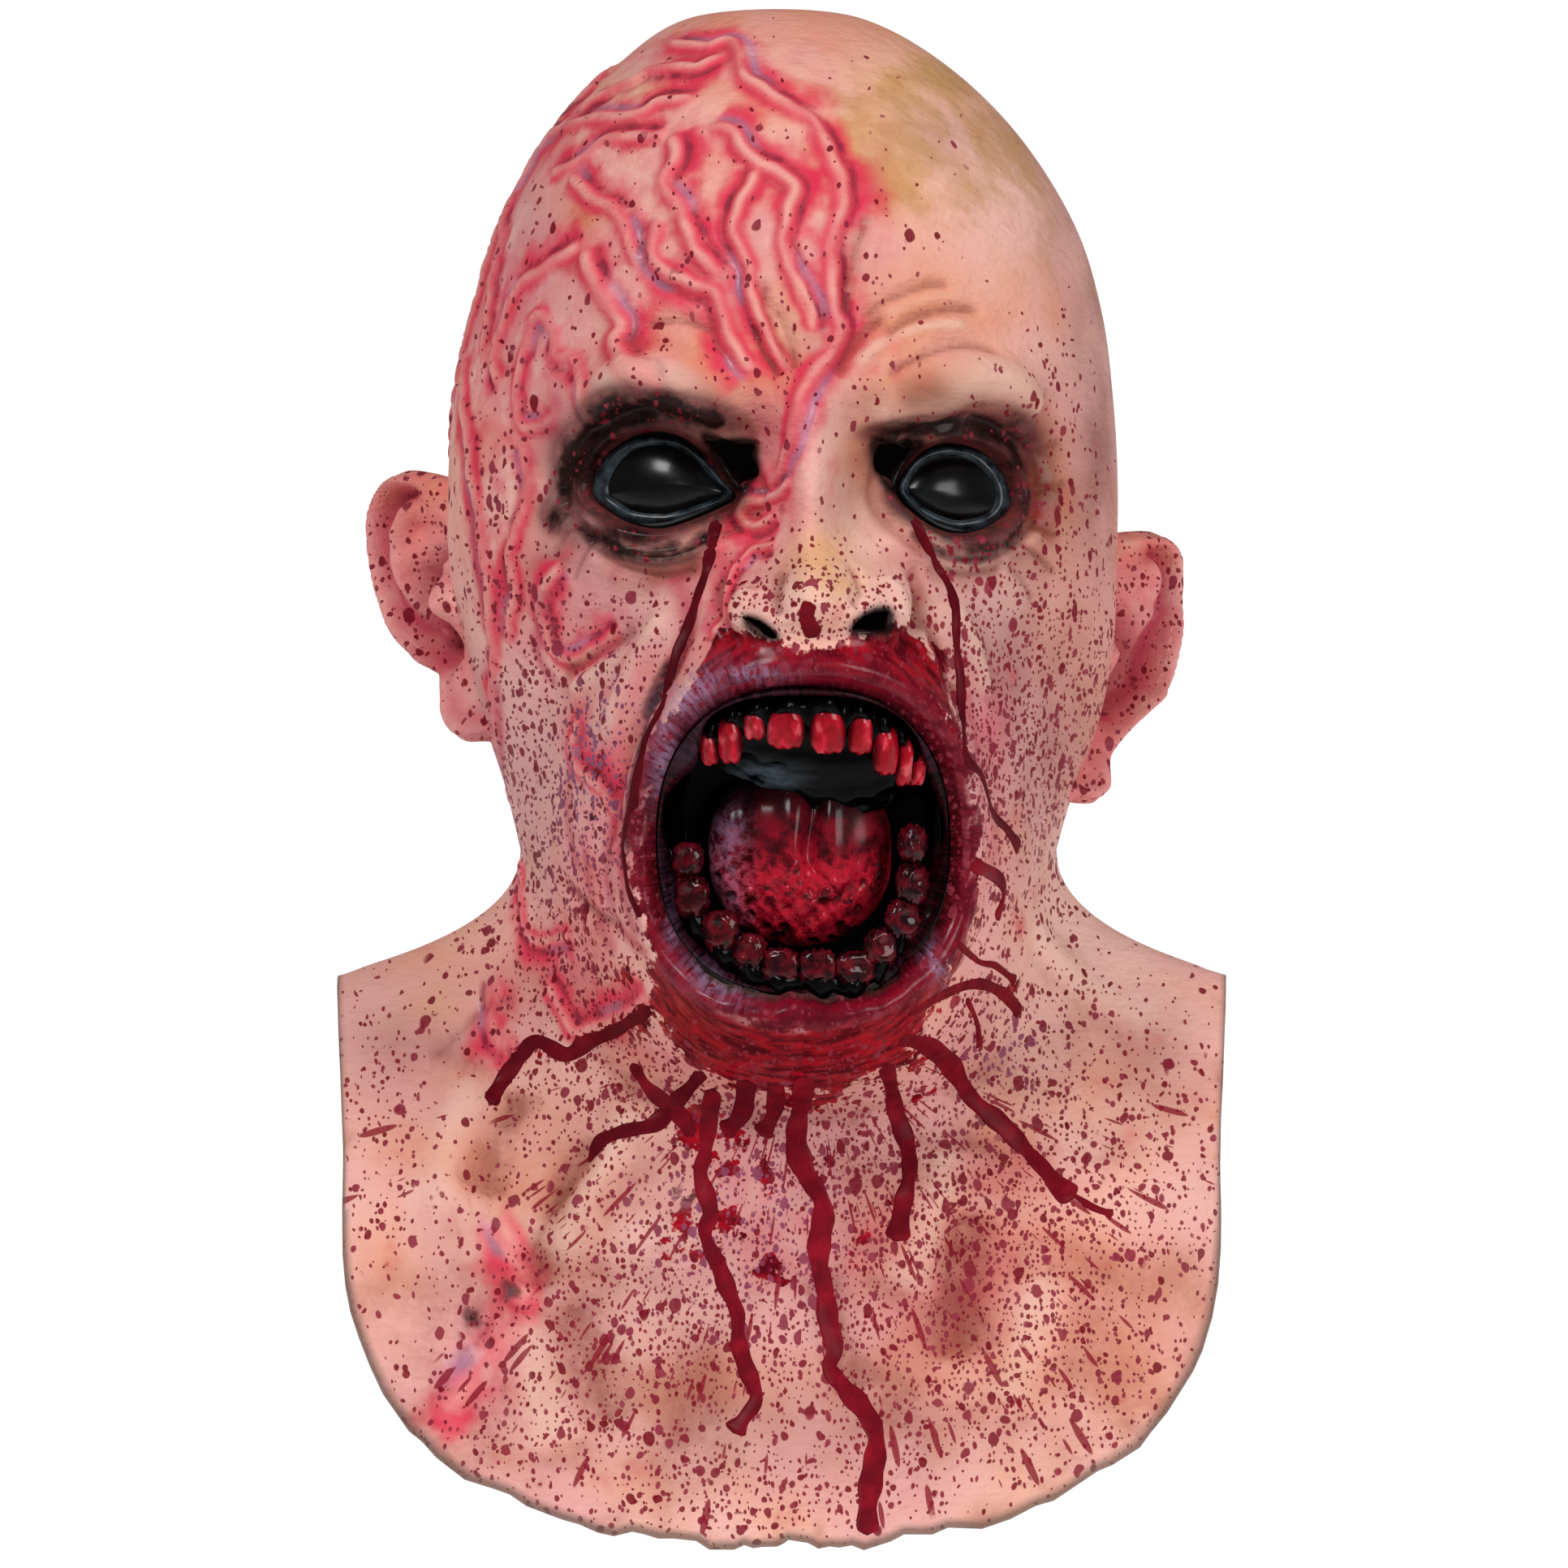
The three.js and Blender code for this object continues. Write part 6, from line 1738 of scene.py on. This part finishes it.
# ---------------------------------------------------------------- Lower teeth and gum
# Eleven broken stumps set in a dark ridge round the tongue. They are lumpy and pitted, and clotted
# with dark paint in the pits.
LOWER_TEETH = [
    (847, 1060, 40, 42), (852, 1106, 46, 50), (888, 1148, 48, 50), (923, 1174, 42, 46), (962, 1190, 48, 42),
    (1008, 1192, 48, 42), (1054, 1194, 50, 42), (1086, 1168, 42, 46), (1112, 1134, 46, 48),
    (1124, 1090, 42, 50), (1125, 1040, 36, 44),
]
clotted = Finish("clotted_teeth", coat=0.45, coat_rough=0.1, specular=0.02)
clot_spot = clotted.place()
clot_mottle = clotted.noise(clot_spot, 3.5, detail=4, rough=0.6)
pits = clotted.node("ShaderNodeTexVoronoi", {"feature": "F1"}, {
    "Vector": clot_spot, "Scale": 1 / (4.2 * MM)})
pit = clotted.ease(0.5 - clotted.wire(pits, "Distance"), 0.05, 0.3)
clot_share = clotted.ease(clot_mottle, 0.35, 0.68)
clot_colour = clotted.mix(clot_share, paint("1e0408"), paint("6a0c1a"))
# A few pale brown-red patches: painted highlight
clot_colour = clotted.mix(clotted.ease(clot_mottle, 0.62, 0.75) * 0.2, clot_colour, paint("94504a"))
clot_colour = clotted.mix(pit * 0.5, clot_colour, paint("160407"))
clotted.feed(clotted.shader, {
    "Base Color": clot_colour, "Roughness": clotted.between(clot_mottle, 0.12, 0.4),
    "Normal": clotted.bump(clot_mottle - pit, 1.2, 0.8)})
for n, seen in enumerate(LOWER_TEETH):
    form, centre, x, y, z, swing, level = tooth_form(seen, LOWER_FRONT, 36, (0.85, 0.75))
    swell = 1 + 0.12 * np.sin(3 * x + n * 2.3) * np.sin(2 * z + n) + 0.08 * np.sin(5 * y + n)
    crater = 1.6 * np.exp(-(x / 1.8) ** 2 - ((z - 0.8) / 1.8) ** 2) * (y < 0)
    stand(form, centre, x * swell, (y + crater) * swell, z * swell, swing)
    tooth = piece(f"lower_stump_{n + 1}", form, [clotted])
    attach(tooth, "root")
    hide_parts(f"lower_tooth_{n + 1}")

form, places = gum_form(LOWER_TEETH, LOWER_FRONT, 36, 3, -1, 4.0, 3.0)
move(form, places)
lower_gum = piece("lower_gum_ridge", form, [black_gloss])
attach(lower_gum, "root")
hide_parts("lower_gum")


# ---------------------------------------------------------------- Tongue
# A swollen tongue that fills the back of the mouth, with a furrow down its middle and a raw,
# blistered tip. It is cast solid and varnished.
tongue_form = sheet(110, 64)
turn, level = places_of(tongue_form)[:, :2].T
turn, pole = turn * 2 * np.pi, level * np.pi
cx, cz = np.sin(turn) * np.sin(pole), np.cos(turn) * np.sin(pole)
grow = 1 + 0.1 * np.abs(np.sin(2 * turn)) ** 1.5 * np.sin(pole) * (cz > 0)
x = MOUTH_X - 0.9 + 26.2 * cx * grow
z = -246.5 + 25.5 * cz * grow - 1.5
y = -87 - 15.5 * np.sign(np.cos(pole)) * np.abs(np.cos(pole)) ** 0.8
front = y < -87
furrow = np.exp(-((x - 8.6 + 0.8 * np.sin(z / 4)) / 2.2) ** 2) * ease(z, -262, -245)
y += 3.6 * furrow * front
y -= 1.8 * np.exp(-((x - 3.0) / 4.2) ** 2) * front * ease(z, -264, -250)
y -= 1.8 * np.exp(-((x - 15) / 4.5) ** 2) * front * ease(z, -264, -250)
y += 1.6 * np.exp(-((x + 11) / 3.0) ** 2) * ease(z, -262, -252) * front
blister = ease(-z, 246, 258) * front
coarse = 0.9 * np.sin(x * 0.9) * np.sin(z * 0.8 + x * 0.3)
y -= blister * (coarse + 0.6 * np.sin(x * 1.7 + 2) * np.sin(z * 1.5))
move(tongue_form, np.stack([x, y, z], 1))

raw_tongue = Finish("raw_tongue", coat=0.3, coat_rough=0.16, specular=0.02)
tongue_spot = raw_tongue.place()
x, y, z = raw_tongue.axes(tongue_spot)
flesh = raw_tongue.noise(tongue_spot, 7, detail=5, rough=0.6)
grain = raw_tongue.noise(tongue_spot, 2.0, detail=4, rough=0.6)
bubbles = raw_tongue.node("ShaderNodeTexVoronoi", {"feature": "F1"}, {
    "Vector": tongue_spot, "Scale": 1 / (5.5 * MM)})
hole = raw_tongue.ease(0.42 - raw_tongue.wire(bubbles, "Distance"), 0.0, 0.3)
tongue_colour = raw_tongue.mix(raw_tongue.ease(flesh, 0.35, 0.65), paint("3e0812"), paint("860f22"))
low_red = raw_tongue.ease(0.0 - z, 0.24, 0.254)
raw_share = low_red * raw_tongue.ease(flesh + grain, 0.75, 1.1) * 0.9
tongue_colour = raw_tongue.mix(raw_share, tongue_colour,
                               paint("c81c33"))
tongue_colour = raw_tongue.mix(hole * low_red * 0.7, tongue_colour, paint("35060d"))
# A purple-grey sheen down the tongue's left side: painted reflection
edge_reach = (x - 0.0075).maths("ABSOLUTE", x - 0.0075)
edge_painted_sheen = raw_tongue.ease(edge_reach, 0.0125, 0.023) * raw_tongue.ease(grain + flesh, 0.8, 1.15)
side_painted_sheen = edge_painted_sheen * raw_tongue.ease(0.0 - x, -0.012, 0.01) * 0.6
tongue_colour = raw_tongue.mix(side_painted_sheen, tongue_colour,
                               paint("86708e"))
root_shade = raw_tongue.ease(z, -0.242, -0.228) * 0.92
tongue_colour = raw_tongue.mix(root_shade, tongue_colour, paint("14050a"))
raw_tongue.feed(raw_tongue.shader, {
    "Base Color": tongue_colour,
    "Roughness": raw_tongue.between(flesh + (1.0 - low_red) * 0.3, 0.2, 0.5),
    "Normal": raw_tongue.bump(flesh + grain * 0.5 - hole * low_red, 2.4, 0.9)})
tongue = piece("tongue_flesh", tongue_form, [raw_tongue])
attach(tongue, "root")
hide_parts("tongue")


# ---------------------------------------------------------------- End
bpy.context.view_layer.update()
